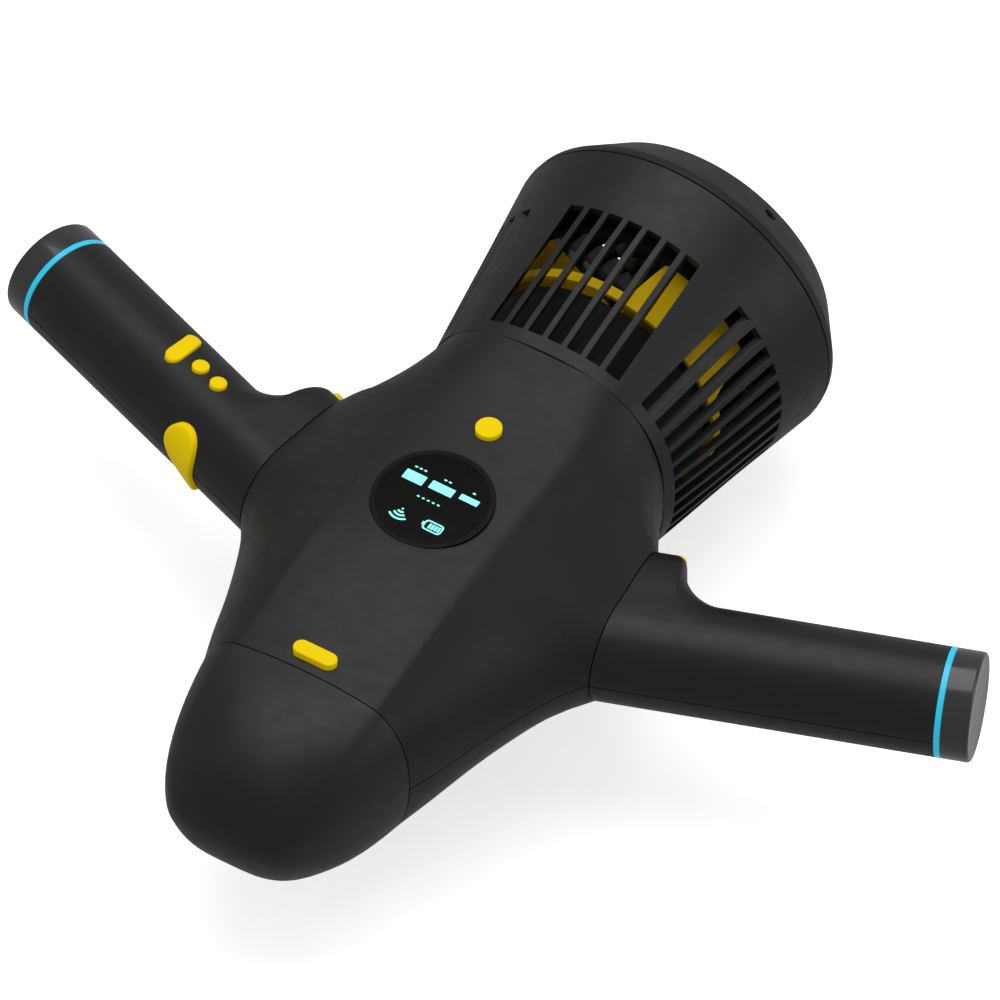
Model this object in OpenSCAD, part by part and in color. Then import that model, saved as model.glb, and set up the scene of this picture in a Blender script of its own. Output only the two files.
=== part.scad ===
// Hand-held underwater scooter: a blunt hull with a slide-out battery nose, two swept handles
// and a slotted thruster duct. Millimetres. +X is the rider's left, the nose points to -Y, +Z is up.
// The origin is on the thrust axis, midway between the nose tip and the nozzle lip.

/* [Overall] */
// Nose tip to nozzle lip
overall_len = 342; // [341:0.5:344]
// Nozzle lip back to the plane where hull and duct meet
duct_len = 112; // [111:0.5:113]
// Nose tip back to the plane where nose and hull meet
nose_len = 61; // [60:0.5:62]
// Thickness of the moulded hull shells
wall = 2.6; // [2.2:0.1:3]

/* [Thruster duct] */
// Duct radius where it leaves the hull
duct_front_r = 53; // [52.6:0.1:54]
// Duct radius at the nozzle ring
duct_rear_r = 69.7; // [69:0.1:71]
// Length of the slotted cone
cone_len = 89.8; // [89:0.1:90]
// Radius of the nozzle lip
nozzle_r = 55.8; // [55:0.1:57]
// Thickness of the duct wall
duct_wall = 3; // [2.8:0.1:3.4]
// Slots in the top group, and the same below
top_slots = 7; // [5:2:7]
// Slots in each side group
side_slots = 12; // [8:2:12]
// Radius of the two tether holes
tether_r = 2.6; // [2:0.1:3]

/* [Propeller] */
// Outer radius of the rim round the blades
prop_r = 50.4; // [49:0.2:51]
// Number of blades
blades = 3; // [2:1:3]
// Advance in one turn
prop_pitch = 144; // [120:1:146]
// Radius of the drive shaft
shaft_r = 4; // [3.5:0.1:4.2]

/* [Handles] */
// Radius of the grip
grip_r = 21; // [20.5:0.1:21.5]
// Half the width over the two end-face centres
end_x = 205.8; // [200:0.5:212]
// Backward sweep of each grip, in degrees
sweep = 19.8; // [19:0.1:21]
// Backward turn of the face where handle meets hull, in degrees
joint_turn = 7.25; // [7:0.05:7.5]
// Thickness of the handle shells
grip_wall = 2.5; // [2.2:0.1:2.8]

/* [Controls] */
// Radius of the display window
display_r = 23.6; // [22:0.1:24]
// Radius of the power button
power_r = 5.2; // [4.5:0.1:5.5]
// Overall length of the pill-shaped nose latch
latch_len = 18.5; // [15:0.5:18.5]
// Width of the nose latch
latch_w = 6.8; // [5.5:0.1:6.8]
// Radius of the two speed buttons
speed_r = 3.4; // [3:0.1:3.6]
// Gap around each button
button_gap = 0.3; // [0.25:0.05:0.4]

/* [Battery] */
// Radius of the battery can
can_r = 30; // [29.6:0.1:30.2]
// Radius of one cell
cell_r = 8.8; // [8.5:0.1:8.9]
// Length of one cell
cell_len = 65; // [60:1:66]

/* [Hidden] */
$fn = 64;
eps = 0.01;
// Gap between neighbouring mouldings.
seam = 0.2;
nose_tip_y = -overall_len / 2;
lip_y = overall_len / 2;
hull_rear_y = lip_y - duct_len;
nose_y = nose_tip_y + nose_len;
ring_y = hull_rear_y + cone_len;
cone_slope = (duct_rear_r - duct_front_r) / cone_len;

// Hull stations: y, half width, top, bottom, roundness exponent above and below.
HULL = [
    [nose_y, 46.1, 36.6, 41.2, 2.65, 3.1],
    [-48, 49.0, 45.4, 45.5, 2.6, 2.9],
    [19, 51.0, 47.8, 49.0, 2.5, 2.6],
    [hull_rear_y, 52.3, 52.0, 52.3, 2.5, 2.5]
];
// Shoulder stations: y, half width before the handle face cuts it, half height, exponent.
SHOULDER = [
    [nose_y, 42, 20, 2.2], [-77, 54, 21, 2.2], [-44, 69.5, 21, 2.2], [-34, 77.2, 21, 2.2],
    [-20, 116, 21, 2.2], [-8, 150, 21, 3], [12, 150, 20.3, 5], [24, 150, 16.5, 5],
    [33, 150, 7, 4], [36, 50, 5, 3], [hull_rear_y, 48, 5, 3]
];
shoulder_blend = 10;

// The face where handle meets hull crosses z = 0 at this point.
joint_x = 77.2;
joint_y = -34.2;
// Middle of that face, where the handle's tongue passes through.
tongue_y = -2;
end_y = 35;

// Top fittings: where they sit along the hull.
display_y = -20.4;
display_z = 46.7;
display_tilt = 1.9;
power_y = 18.9;
power_z = 49.5;
latch_y = -102.4;
latch_z = 39.8;

// Grip stations, measured inboard from the end face.
light_s = 12;
light_w = 2.2;
root_s = 119;
root_back = 40.5;
mode_s = 76.5;
speed_s = [89.2, 100];
trigger_s = 104.5;
tongue_w = 24;
tongue_h = 14;
tongue_len = 26;
fit_gap = 0.15;

// ---- Smooth curves through stations ----
function span(st, y) = max([for (i = [0:len(st) - 2]) if (y >= st[i][0] - eps) i]);
function rise(st, c, i, j) = (st[j][c] - st[i][c]) / (st[j][0] - st[i][0]);
function lean(st, c, i) = rise(st, c, max(i - 1, 0), min(i + 1, len(st) - 1));
function part_way(st, i, y) = (y - st[i][0]) / (st[i + 1][0] - st[i][0]);
function straight(st, c, y) =
    let (i = span(st, y), t = part_way(st, i, y))
    st[i][c] * (1 - t) + st[i + 1][c] * t;
function smooth(st, c, y) =
    let (i = span(st, y), t = part_way(st, i, y), d = st[i + 1][0] - st[i][0],
         t2 = t * t, t3 = t2 * t)
    (2 * t3 - 3 * t2 + 1) * st[i][c] + (t3 - 2 * t2 + t) * d * lean(st, c, i)
    + (3 * t2 - 2 * t3) * st[i + 1][c] + (t3 - t2) * d * lean(st, c, i + 1);

// ---- Hull section, as the radius at an angle from +X ----
function oval(a, w, h, n) = pow(pow(abs(cos(a)) / w, n) + pow(abs(sin(a)) / h, n), -1 / n);
function face_x(y) = joint_x - (y - joint_y) * tan(joint_turn);
function hull_r(y, a, inset) =
    let (below = sin(a) < 0)
    oval(a, smooth(HULL, 1, y) - inset, smooth(HULL, below ? 3 : 2, y) - inset,
         smooth(HULL, below ? 5 : 4, y));
function shoulder_r(y, a, inset) =
    oval(a, straight(SHOULDER, 1, y) - inset, straight(SHOULDER, 2, y) - inset,
         straight(SHOULDER, 3, y));
function skin_r(y, a, inset) =
    min(pow(pow(hull_r(y, a, inset), shoulder_blend)
            + pow(shoulder_r(y, a, inset), shoulder_blend), 1 / shoulder_blend),
        (face_x(y) - inset) / max(abs(cos(a)), eps));
function skin_point(y, a, inset) = let (r = skin_r(y, a, inset)) [r * cos(a), y, r * sin(a)];

// Nose section: the hull's own end section, drawn in towards the tip.
function nose_fade(t, in_pow, out_pow) = pow(max(1 - pow(t, in_pow), 0), 1 / out_pow);
function nose_point(t, a, inset) =
    let (below = sin(a) < 0,
         w = (HULL[0][1] - inset) * nose_fade(t, 1, 3.96),
         h = (HULL[0][below ? 3 : 2] - inset) * nose_fade(t, 2.5, 1.9),
         n = HULL[0][below ? 5 : 4] * (1 - t) + 2.2 * t,
         r = oval(a, w, h, n))
    [r * cos(a), nose_y - seam - t * (nose_len - seam - inset), r * sin(a)];

function quad(a, b, c, d, out) = out ? [[a, b, c], [a, c, d]] : [[a, c, b], [a, d, c]];
function flat(lists) = [for (l = lists) for (v = l) v];
// Faces of one skin of rows by cols points, starting at index base.
function skin_faces(base, rows, cols, out, closed) = flat([
    for (i = [0:rows - 2]) for (j = [0:closed ? cols - 1 : cols - 2])
        let (k = (j + 1) % cols, p = base + i * cols, q = base + (i + 1) * cols)
        quad(p + j, p + k, q + k, q + j, out)
]);
// Band of faces that joins one row of the outer skin to the same row of the inner skin.
function rim_faces(base_out, base_in, cols, out, closed) = flat([
    for (j = [0:closed ? cols - 1 : cols - 2])
        let (k = (j + 1) % cols)
        quad(base_out + j, base_out + k, base_in + k, base_in + j, out)
]);
function side_faces(j, rows, cols, inner, out) = flat([
    for (i = [0:rows - 2])
        let (p = i * cols + j, q = (i + 1) * cols + j)
        quad(p, q, inner + q, inner + p, out)
]);

// Angles are closer together where the shoulder's edge is.
QUARTER = [0, 4, 8, 11, 13.5, 15.5, 18, 22, 28, 35, 43, 52, 61, 70, 80, 90];
HALF = concat(QUARTER, [for (i = [len(QUARTER) - 2:-1:0]) 180 - QUARTER[i]]);
HULL_YS = [nose_y, -102, -94, -86, -77, -68, -60, -52, -44, -39, -34, -28, -22, -15, -8, 2, 12,
    18, 24, 29, 33, 36, 44, 52, hull_rear_y];

// Half of the hull, above the parting plane when side is 1 and below it when side is -1.
module hull_half(side) {
    rows = len(HULL_YS);
    cols = len(HALF);
    inner = rows * cols;
    up = side > 0;
    points = [
        for (inset = [0, wall]) for (y = HULL_YS) for (a = HALF) skin_point(y, side * a, inset)
    ];
    polyhedron(points, concat(
        skin_faces(0, rows, cols, up, false),
        skin_faces(inner, rows, cols, !up, false),
        rim_faces(0, inner, cols, !up, false),
        rim_faces(inner - cols, 2 * inner - cols, cols, up, false),
        side_faces(0, rows, cols, inner, up),
        side_faces(cols - 1, rows, cols, inner, !up)
    ));
}

// ---- Small helpers ----
// A cylinder along +Y from y0 to y1.
module rod(r, y0, y1) {
    translate([0, y0, 0]) rotate([-90, 0, 0]) cylinder(r = r, h = y1 - y0);
}
module tube(r_out, r_in, y0, y1) {
    difference() {
        rod(r_out, y0, y1);
        rod(r_in, y0 - 1, y1 + 1);
    }
}
// Turns a profile of [radius, y] points about the thrust axis.
module turned(profile) {
    rotate([-90, 0, 0]) rotate_extrude($fn = 96) polygon(profile);
}
module pill(length, width) {
    square([length - width, width], center = true);
    for (s = [-1, 1]) translate([s * (length - width) / 2, 0]) circle(d = width);
}
// Outline of the hull's inside at y, drawn in by gap.
module hull_outline(y, gap) {
    polygon([for (a = [0:6:354]) let (r = hull_r(y, a, wall + gap)) [r * cos(a), -r * sin(a)]]);
}
// Places a flat outline across the thrust axis, from y0 back to y1.
module across(y0, y1) {
    translate([0, y0, 0]) rotate([-90, 0, 0]) linear_extrude(y1 - y0) children();
}
module both_sides() {
    children();
    mirror([1, 0, 0]) children();
}

// ---- Hull ----
boss_r = 4;
screw_r = 1.5;
head_r = 2.8;
head_h = 2;
screw_seat = 6;
// Screw bosses of one side: x, y, top, bottom.
BOSS_SIDE = [[38, -90, 21, -25], [40, 47, 30, -31], [60, -30, 15, -15]];
BOSSES = [for (side = [-1, 1]) for (b = BOSS_SIDE) [side * b[0], b[1], b[2], b[3]]];
// The power button's switch hangs in this well under the top skin.
well_r = 6.2;
well_floor = power_z - 12.5;

module handle_frame() {
    translate([face_x(tongue_y), tongue_y, 0]) rotate([0, 0, joint_turn]) children();
}
module tongue_block(gap, x0, x1) {
    translate([x0, -tongue_w / 2 - gap, -tongue_h / 2 - gap])
        cube([x1 - x0, tongue_w + 2 * gap, tongue_h + 2 * gap]);
}
socket_wall = 2.4;
module tongue_windows() {
    both_sides() handle_frame() tongue_block(socket_wall + fit_gap + 0.1, -12, 5);
}

module body_upper_shell() {
    color("#2f2f31") difference() {
        union() {
            hull_half(1);
            for (b = BOSSES) translate([b[0], b[1], 0]) cylinder(r = boss_r, h = b[2]);
            translate([0, power_y, well_floor]) cylinder(r = well_r + 1.5, h = 9.5);
        }
        translate([0, power_y, well_floor - 1]) cylinder(r = well_r, h = 8.5);
        for (b = BOSSES) translate([b[0], b[1], -1]) cylinder(r = screw_r + 0.1, h = 11);
        tongue_windows();
        top_frame() translate([0, 0, -20]) cylinder(r = display_r + 0.1, h = 40);
        translate([0, power_y, 30]) cylinder(r = power_r + button_gap, h = 30);
        translate([0, latch_y, 30]) linear_extrude(20)
            pill(latch_len + 2 * button_gap, latch_w + 2 * button_gap);
    }
}

module body_lower_shell() {
    color("#2b2b2d") difference() {
        union() {
            hull_half(-1);
            for (b = BOSSES) translate([b[0], b[1], b[3]]) cylinder(r = boss_r, h = -b[3]);
        }
        for (b = BOSSES) translate([b[0], b[1], 0]) {
            translate([0, 0, -60]) cylinder(r = screw_r + 0.1, h = 61);
            translate([0, 0, -60]) cylinder(r = head_r + 0.2, h = 60 - screw_seat);
        }
        tongue_windows();
    }
}

module hull_screws() {
    color("silver") for (b = BOSSES) translate([b[0], b[1], -screw_seat - head_h - 0.05]) {
        cylinder(r = head_r, h = head_h);
        cylinder(r = screw_r, h = head_h + screw_seat + 9);
    }
}

sleeve_in = can_r + 0.5;
sleeve_out = sleeve_in + 2;
sleeve_y0 = nose_y + 2.5;
sleeve_y1 = -42;
module front_bulkhead() {
    color("#3a3a3c") difference() {
        across(nose_y + 4, nose_y + 8) hull_outline(nose_y + 4, 0.5);
        rod(sleeve_out + 0.05, nose_y, nose_y + 20);
        // Room for the latch's foot.
        translate([-10, nose_y + 2, 30]) cube([20, 10, 20]);
    }
}

module battery_sleeve() {
    color("#444448") difference() {
        rod(sleeve_out, sleeve_y0, sleeve_y1);
        rod(sleeve_in, sleeve_y0 - 1, sleeve_y1 - 2.5);
        rod(can_r + 1.3, sleeve_y0 - 1, sleeve_y0 + 4);
        for (x = contact_x) translate([x, 0, 0]) rod(1.6, sleeve_y1 - 5, sleeve_y1 + 1);
    }
}
contact_x = [-12, 0, 12];

module hull_contacts() {
    color("gold") for (x = contact_x) translate([x, 0, 0]) rod(1.5, can_y1 + 0.3, sleeve_y1 + 4);
}

module top_frame() {
    translate([0, display_y, display_z]) rotate([display_tilt, 0, 0]) children();
}
module display_bezel() {
    color("#101012") top_frame() difference() {
        translate([0, 0, -6]) cylinder(r = display_r, h = 6);
        translate([0, 0, -2]) cylinder(r = display_r - 2, h = 3);
        translate([0, 0, -7]) cylinder(r = display_r - 4.5, h = 8);
    }
}
module display_lens() {
    color("#0a0a0c") top_frame() translate([0, 0, -1.95]) cylinder(r = display_r - 2.05, h = 1.9);
}
module display_panel() {
    color("#0f3a3a") top_frame() translate([0, 0, -4.2]) cylinder(r = display_r - 4.7, h = 1.6);
}

spring_wire = 0.6;
module power_button() {
    color("gold") translate([0, power_y, 0]) {
        translate([0, 0, power_z - 3.8]) cylinder(r = power_r, h = 3.8);
        translate([0, 0, power_z - 9]) cylinder(r = 1.8, h = 6);
    }
}
module power_spring() {
    color("silver") translate([0, power_y, power_z - 8]) difference() {
        cylinder(r = 3.4, h = 4.1);
        translate([0, 0, -1]) cylinder(r = 3.4 - spring_wire, h = 7);
    }
}
module power_switch() {
    color("#333336") translate([0, power_y, well_floor]) {
        cylinder(r = well_r - 0.05, h = 2.05);
        difference() {
            translate([0, 0, 2]) cylinder(r = 5, h = 2.4);
            translate([0, 0, 2.2]) cylinder(r = 2.2, h = 3);
        }
    }
}

module latch_button() {
    color("gold") translate([0, latch_y, 0]) {
        translate([0, 0, latch_z - 4.6]) linear_extrude(4.6) pill(latch_len, latch_w);
        translate([0, 0, latch_z - 5.6]) linear_extrude(2) pill(latch_len - 7, latch_w - 2);
    }
}
module latch_spring() {
    color("silver") for (s = [-1, 1]) translate([s * 7.2, latch_y, latch_z - 7.8]) difference() {
        cylinder(r = 1.2, h = 3.1, $fn = 24);
        translate([0, 0, -1]) cylinder(r = 0.7, h = 6, $fn = 24);
    }
}

board_z = -22;
module controller_board() {
    color("#1f5a34") {
        translate([-32, -38, board_z]) cube([64, 36, 1.6]);
        // Driver transistors and capacitors, each standing on the board.
        for (x = [-25:10:25]) translate([x - 3.5, -34, board_z + 1.6]) cube([7, 9, 2.4]);
        for (x = [-20, 0, 20]) translate([x, -12, board_z + 1.6]) cylinder(r = 5, h = 12);
    }
}
module heat_sink() {
    color("silver") {
        translate([-30, -36, board_z - 4.2]) cube([60, 32, 3]);
        for (x = [-29:6:29]) translate([x - 0.75, -36, board_z - 13]) cube([1.5, 32, 9]);
    }
}

// ---- Motor ----
motor_r = 30;
motor_y0 = 2;
motor_y1 = hull_rear_y - 4.2;
rotor_r = 16;
shaft_y0 = motor_y0 + 3.2;
shaft_y1 = 140;
bearing_r = 9;
running = 0.05;

module motor_housing() {
    color("#55565a") difference() {
        rod(motor_r, motor_y0, motor_y1);
        rod(motor_r - 2.5, motor_y0 + 8, motor_y1 + 1);
        rod(bearing_r + 0.05, motor_y0 + 3, motor_y0 + 9);
    }
}
module front_bearing() {
    color("silver") tube(bearing_r, shaft_r + running, motor_y0 + 3.1, motor_y0 + 7.9);
}
module motor_core() {
    color("#6a6a6e") tube(motor_r - 2.55, rotor_r + 0.8, motor_y0 + 14, motor_y1 - 8);
}
module motor_windings() {
    color("#b5651d") for (y = [motor_y0 + 9, motor_y1 - 7.9])
        tube(motor_r - 4, rotor_r + 3, y, y + 4.9);
}
module motor_rotor() {
    color("#8a8a90") tube(rotor_r, shaft_r + 0.02, motor_y0 + 13, motor_y1 - 7);
}
module motor_bulkhead() {
    color("#3a3a3c") difference() {
        across(hull_rear_y - 4, hull_rear_y) hull_outline(hull_rear_y - 4, 0.4);
        rod(bearing_r + 0.05, hull_rear_y - 8, hull_rear_y + 1);
        for (a = [0:60:300]) rotate([0, a, 0]) translate([40, 0, 0])
            rod(screw_r + 0.1, hull_rear_y - 9, hull_rear_y + 1);
    }
}
module rear_bearing() {
    color("silver") tube(bearing_r, shaft_r + running, hull_rear_y - 3.9, hull_rear_y - 0.1);
}
module shaft_seal() {
    color("#1a1a1a") tube(bearing_r + 1.1, shaft_r + 0.3, hull_rear_y + 0.3, hull_rear_y + 2.9);
}
// Drum in front of the propeller: its skirt leads the water over the hub and keeps weed off the seal.
drum_r = 47;
drum_wall = 2.6;
skirt_len = 4.2;
module shaft_fairing() {
    y0 = hull_rear_y + 3.1;
    y1 = prop_hub_y0 - 0.6;
    inner = drum_r - drum_wall;
    color("#3c3c3e") turned([[inner, y0], [inner, y1 - drum_wall], [shaft_r + 1, y1 - drum_wall],
                             [shaft_r + 1, y1], [inner, y1], [inner, y1 + skirt_len],
                             [drum_r - 0.6, y1 + skirt_len], [drum_r, y1 + skirt_len - 1],
                             [drum_r + 1, y0]]);
}
module drive_shaft() {
    color("silver") rod(shaft_r, shaft_y0, shaft_y1);
}

// ---- Duct ----
slot_y0 = hull_rear_y + 6;
slot_y1 = hull_rear_y + 64;
top_pitch = 8.5;
top_slot_w = 6;
side_pitch = 7.5;
side_slot_w = 5.2;
// Side slots spread a little as the cone opens.
side_fan = 0.05;
function cone_r(y) = duct_front_r + (y - hull_rear_y) * cone_slope;

module top_slot_cuts() {
    for (i = [0:top_slots - 1])
        translate([(i - (top_slots - 1) / 2) * top_pitch - top_slot_w / 2, slot_y0, -90])
            cube([top_slot_w, slot_y1 - slot_y0, 180]);
}
module side_slot_cuts() {
    for (i = [0:side_slots - 1]) {
        z = (i - (side_slots - 1) / 2) * side_pitch;
        z0 = z * (1 - side_fan);
        z1 = z * (1 + side_fan);
        half = side_slot_w / 2;
        rotate([90, 0, 90]) translate([0, 0, -90]) linear_extrude(180)
            polygon([[slot_y0, z0 - half], [slot_y1, z1 - half], [slot_y1, z1 + half],
                     [slot_y0, z0 + half]]);
    }
}
module duct_shroud() {
    inner = duct_front_r - duct_wall;
    color("#38383a") difference() {
        turned([[inner, hull_rear_y + 3], [inner, hull_rear_y + 3.4],
                [duct_rear_r - duct_wall, ring_y], [duct_rear_r, ring_y],
                [duct_front_r, hull_rear_y + 0.2], [bearing_r + 1.2, hull_rear_y + 0.2],
                [bearing_r + 1.2, hull_rear_y + 3]]);
        intersection() {
            top_slot_cuts();
            // Keeps the vertical cuts out of the side groups.
            for (s = [-1, 1]) translate([-32, slot_y0 - 1, s > 0 ? 30 : -90]) cube([64, 70, 60]);
        }
        intersection() {
            side_slot_cuts();
            for (s = [-1, 1]) translate([s > 0 ? 31.5 : -90, slot_y0 - 1, -50]) cube([58.5, 70, 100]);
        }
        for (a = [0:60:300]) rotate([0, a, 0]) translate([40, 0, 0])
            rod(screw_r + 0.1, hull_rear_y - 1, hull_rear_y + 9);
    }
}
module duct_screws() {
    color("silver") for (a = [0:60:300]) rotate([0, a, 0]) translate([40, 0, 0]) {
        rod(head_r, hull_rear_y + 3.05, hull_rear_y + 5);
        rod(screw_r, hull_rear_y - 7, hull_rear_y + 5);
    }
}

vanes = 11;
vane_y0 = 131;
vane_y1 = ring_y - 2.8;
hub_r = 14;
rim_r = cone_r(vane_y0) - duct_wall - 0.3;
// Inner tube that the jet leaves through, just behind the propeller.
liner_r = 50.5;
liner_y0 = 125;
liner_y1 = 158;
// Finger guard rings that join the vanes behind the propeller.
GUARD_RINGS = [21, 28, 35, 42];
guard_t = 2.4;
guard_y0 = 137.5;
vane_lean = 0.45;
// One stator vane, as a slab that leans round the axis to straighten the swirl.
module vane(a) {
    rotate([0, a, 0])
        multmatrix([[1, 0, 0, 0], [0, 1, 0, 0], [0, vane_lean, 1, -vane_lean * vane_y0], [0, 0, 0, 1]])
        translate([hub_r - 1, vane_y0 + 0.6, -1]) cube([liner_r - hub_r, vane_y1 - vane_y0 - 1.2, 2]);
}
module stator_vanes() {
    bore = bearing_r - 1.5;
    color("#4a4a4e") difference() {
        union() {
            rod(hub_r, vane_y0, vane_y1);
            for (r = GUARD_RINGS) tube(r + guard_t / 2, r - guard_t / 2, guard_y0, vane_y1);
            tube(liner_r, liner_r - 2, liner_y0, liner_y1);
            for (i = [0:vanes - 1]) intersection() {
                vane(i * 360 / vanes);
                rod(liner_r - 1, vane_y0, vane_y1);
            }
            tube(rim_r, rim_r - 2, vane_y0 + 8, vane_y1);
            tube(rim_r + 1.2, liner_r - 1, vane_y1 - 0.5, vane_y1 + 2.5);
        }
        rod(bore + 0.02, vane_y0 - 1, vane_y0 + 10);
    }
}
module tail_bush() {
    color("#b08d57") tube(bearing_r - 1.5, shaft_r + running, vane_y0 + 0.5, vane_y0 + 9.5);
}

ring_band = 3.9;
nozzle_wall = 3.2;
lip_round = 1.2;
nozzle_slope = atan2(duct_rear_r - 0.5 - nozzle_r, lip_y - ring_y - ring_band);
tether_y = lip_y - 6.6;
tether_a = 33.8;
tether_mid_r = nozzle_r + (lip_y - tether_y) * tan(nozzle_slope);
module nozzle_ring() {
    inner_front = duct_rear_r - duct_wall;
    color("#343436") difference() {
        turned([[inner_front, ring_y + 0.2], [inner_front, ring_y + ring_band - 1.4],
                [nozzle_r - nozzle_wall / cos(nozzle_slope), lip_y],
                [nozzle_r - lip_round, lip_y], [nozzle_r, lip_y - lip_round],
                [duct_rear_r - 0.5, ring_y + ring_band], [duct_rear_r, ring_y + 0.2]]);
        for (s = [-1, 1]) rotate([0, s * tether_a, 0]) translate([0, tether_y, tether_mid_r])
            rotate([-nozzle_slope, 0, 0]) translate([0, 0, -9]) cylinder(r = tether_r, h = 18);
    }
}

// ---- Propeller ----
prop_y = 106;
prop_hub_r = 13;
blade_sweep = 60;
blade_t = 2.4;
blade_rows = 7;
blade_cols = 15;
blade_mid_y = prop_y + 5;
rim_t = 1.6;
rim_y0 = prop_y - 8;
rim_y1 = rim_y0 + 4.4;
band_y1 = blade_mid_y + 12.7;
// Turn from the top to the middle of the first blade.
blade_turn = 42;
function blade_point(f, g, side) =
    let (r = prop_hub_r - 1.5 + f * (prop_r - rim_t / 2 - prop_hub_r + 1.5),
         a = g * blade_sweep + blade_turn,
         lift = side * blade_t / 2 * (1 - 0.4 * f) * sqrt(max(1 - 4 * g * g, 0.02)))
    [r * sin(a), blade_mid_y + prop_pitch * g * blade_sweep / 360 + lift, r * cos(a)];
module blade() {
    top = blade_rows * blade_cols;
    points = [for (side = [1, -1]) for (i = [0:blade_rows - 1]) for (j = [0:blade_cols - 1])
        blade_point(i / (blade_rows - 1), j / (blade_cols - 1) - 0.5, side)];
    polyhedron(points, concat(
        skin_faces(0, blade_rows, blade_cols, true, false),
        skin_faces(top, blade_rows, blade_cols, false, false),
        rim_faces(0, top, blade_cols, false, false),
        rim_faces(top - blade_cols, 2 * top - blade_cols, blade_cols, true, false),
        side_faces(0, blade_rows, blade_cols, top, true),
        side_faces(blade_cols - 1, blade_rows, blade_cols, top, false)
    ));
}
// Rim round the blades, wide outside each blade and narrow between them.
module blade_rim() {
    half = 180 / blades - blade_sweep / 2 - 1.5;
    reach = 2 * prop_r;
    difference() {
        tube(prop_r, prop_r - rim_t, rim_y0, band_y1);
        for (i = [0:blades - 1]) rotate([0, i * 360 / blades, 0])
            across(rim_y1, band_y1 + 1) rotate(blade_turn + 180 / blades - 90)
                polygon([[0, 0], reach * [cos(half), -sin(half)], reach * [1.2, 0],
                         reach * [cos(half), sin(half)]]);
    }
}
prop_hub_y0 = prop_y - 13;
prop_hub_y1 = prop_y + 18;
module propeller() {
    color("gold") difference() {
        union() {
            turned([[0, prop_hub_y0], [prop_hub_r - 3, prop_hub_y0], [prop_hub_r, prop_hub_y0 + 4],
                    [prop_hub_r, prop_hub_y1], [0, prop_hub_y1]]);
            blade_rim();
            for (i = [0:blades - 1]) rotate([0, i * 360 / blades, 0]) blade();
        }
        rod(shaft_r + 0.02, prop_hub_y0 - 1, prop_hub_y1 + 1);
    }
}
module propeller_nut() {
    color("silver") difference() {
        translate([0, prop_hub_y1 + 0.1, 0]) rotate([-90, 0, 0]) cylinder(r = 8, h = 6, $fn = 6);
        rod(shaft_r + 0.02, prop_hub_y1 - 1, prop_hub_y1 + 8);
    }
}

// ---- Nose and battery ----
nose_steps = [0, 0.08, 0.18, 0.3, 0.42, 0.54, 0.65, 0.75, 0.84, 0.91, 0.96, 0.99];
nose_angles = [for (a = [0:9:351]) a];
module nose_cap() {
    rows = len(nose_steps);
    cols = len(nose_angles);
    inner = rows * cols;
    tips = 2 * inner;
    points = concat(
        [for (inset = [0, wall]) for (t = nose_steps) for (a = nose_angles) nose_point(t, a, inset)],
        [[0, nose_tip_y, 0], [0, nose_tip_y + wall, 0]]
    );
    last = inner - cols;
    caps = flat([for (j = [0:cols - 1]) let (k = (j + 1) % cols)
        [[last + k, last + j, tips], [inner + last + j, inner + last + k, tips + 1]]]);
    color("#303032") polyhedron(points, concat(
        skin_faces(0, rows, cols, false, true),
        skin_faces(inner, rows, cols, true, true),
        rim_faces(0, inner, cols, true, true),
        caps
    ));
}

can_y0 = nose_y - 22;
can_y1 = -45.2;
flange_y = nose_y - 4;
module battery_can() {
    color("#26262a") difference() {
        union() {
            rod(can_r, can_y0, can_y1);
            across(flange_y, flange_y + 3) nose_outline();
        }
        rod(can_r - 2, can_y0 + 2, can_y1 - 2);
        for (x = contact_x) translate([x, 0, 0]) rod(2.1, can_y1 - 3, can_y1 + 1);
    }
}
module nose_outline() {
    t = (nose_y - flange_y) / (nose_len - wall);
    polygon([for (a = [0:6:354]) let (p = nose_point(t, a, wall + 0.4)) [p[0], -p[2]]]);
}
module nose_seal() {
    color("#1a1a1a") tube(can_r + 1.1, can_r + 0.05, nose_y + 3, nose_y + 6);
}
module battery_cells() {
    spacing = 18.3;
    y0 = can_y1 - 3 - cell_len;
    color("#3b7a57") {
        rod(cell_r, y0, y0 + cell_len);
        for (a = [30:60:330]) rotate([0, a, 0]) translate([spacing, 0, 0]) rod(cell_r, y0, y0 + cell_len);
    }
}
module battery_terminals() {
    color("gold") for (x = contact_x) translate([x, 0, 0]) rod(2, can_y1 - 1.9, can_y1 + 0.2);
}

// ---- Handles ----
// Grip frame: origin at the end face's centre, +X outboard along the grip, +Y rearward.
module grip_frame() {
    translate([end_x, end_y, 0]) rotate([0, 0, sweep]) children();
}
module along_grip(x0, x1) {
    translate([x0, 0, 0]) rotate([90, 0, 90]) linear_extrude(x1 - x0) children();
}
root_r = 12;
root_top = 20;
// Section of the handle's root: half round in front, flat above, rounded behind.
module root_section(inset) {
    circle(r = grip_r - inset);
    translate([0, -root_top + inset])
        square([root_back - root_r, 2 * (root_top - inset)]);
    for (s = [-1, 1]) translate([root_back - root_r, s * (root_top - root_r)])
        circle(r = root_r - inset);
    translate([0, -(root_top - root_r)]) square([root_back - inset, 2 * (root_top - root_r)]);
}
fillet_r = 16;
corner_r = 3;
module root_plan(inset) {
    outer = -root_s - inset;
    translate([-170, -grip_r + inset]) square([outer + 170 - corner_r, root_back + grip_r - 2 * inset]);
    translate([-170, -grip_r + inset]) square([outer + 170, root_back + grip_r - corner_r - 2 * inset]);
    translate([outer - corner_r, root_back - inset - corner_r]) circle(r = corner_r);
    difference() {
        translate([outer - eps, 0]) square([fillet_r, grip_r + fillet_r - inset]);
        translate([outer + fillet_r, grip_r + fillet_r - inset]) circle(r = fillet_r);
    }
}
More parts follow.
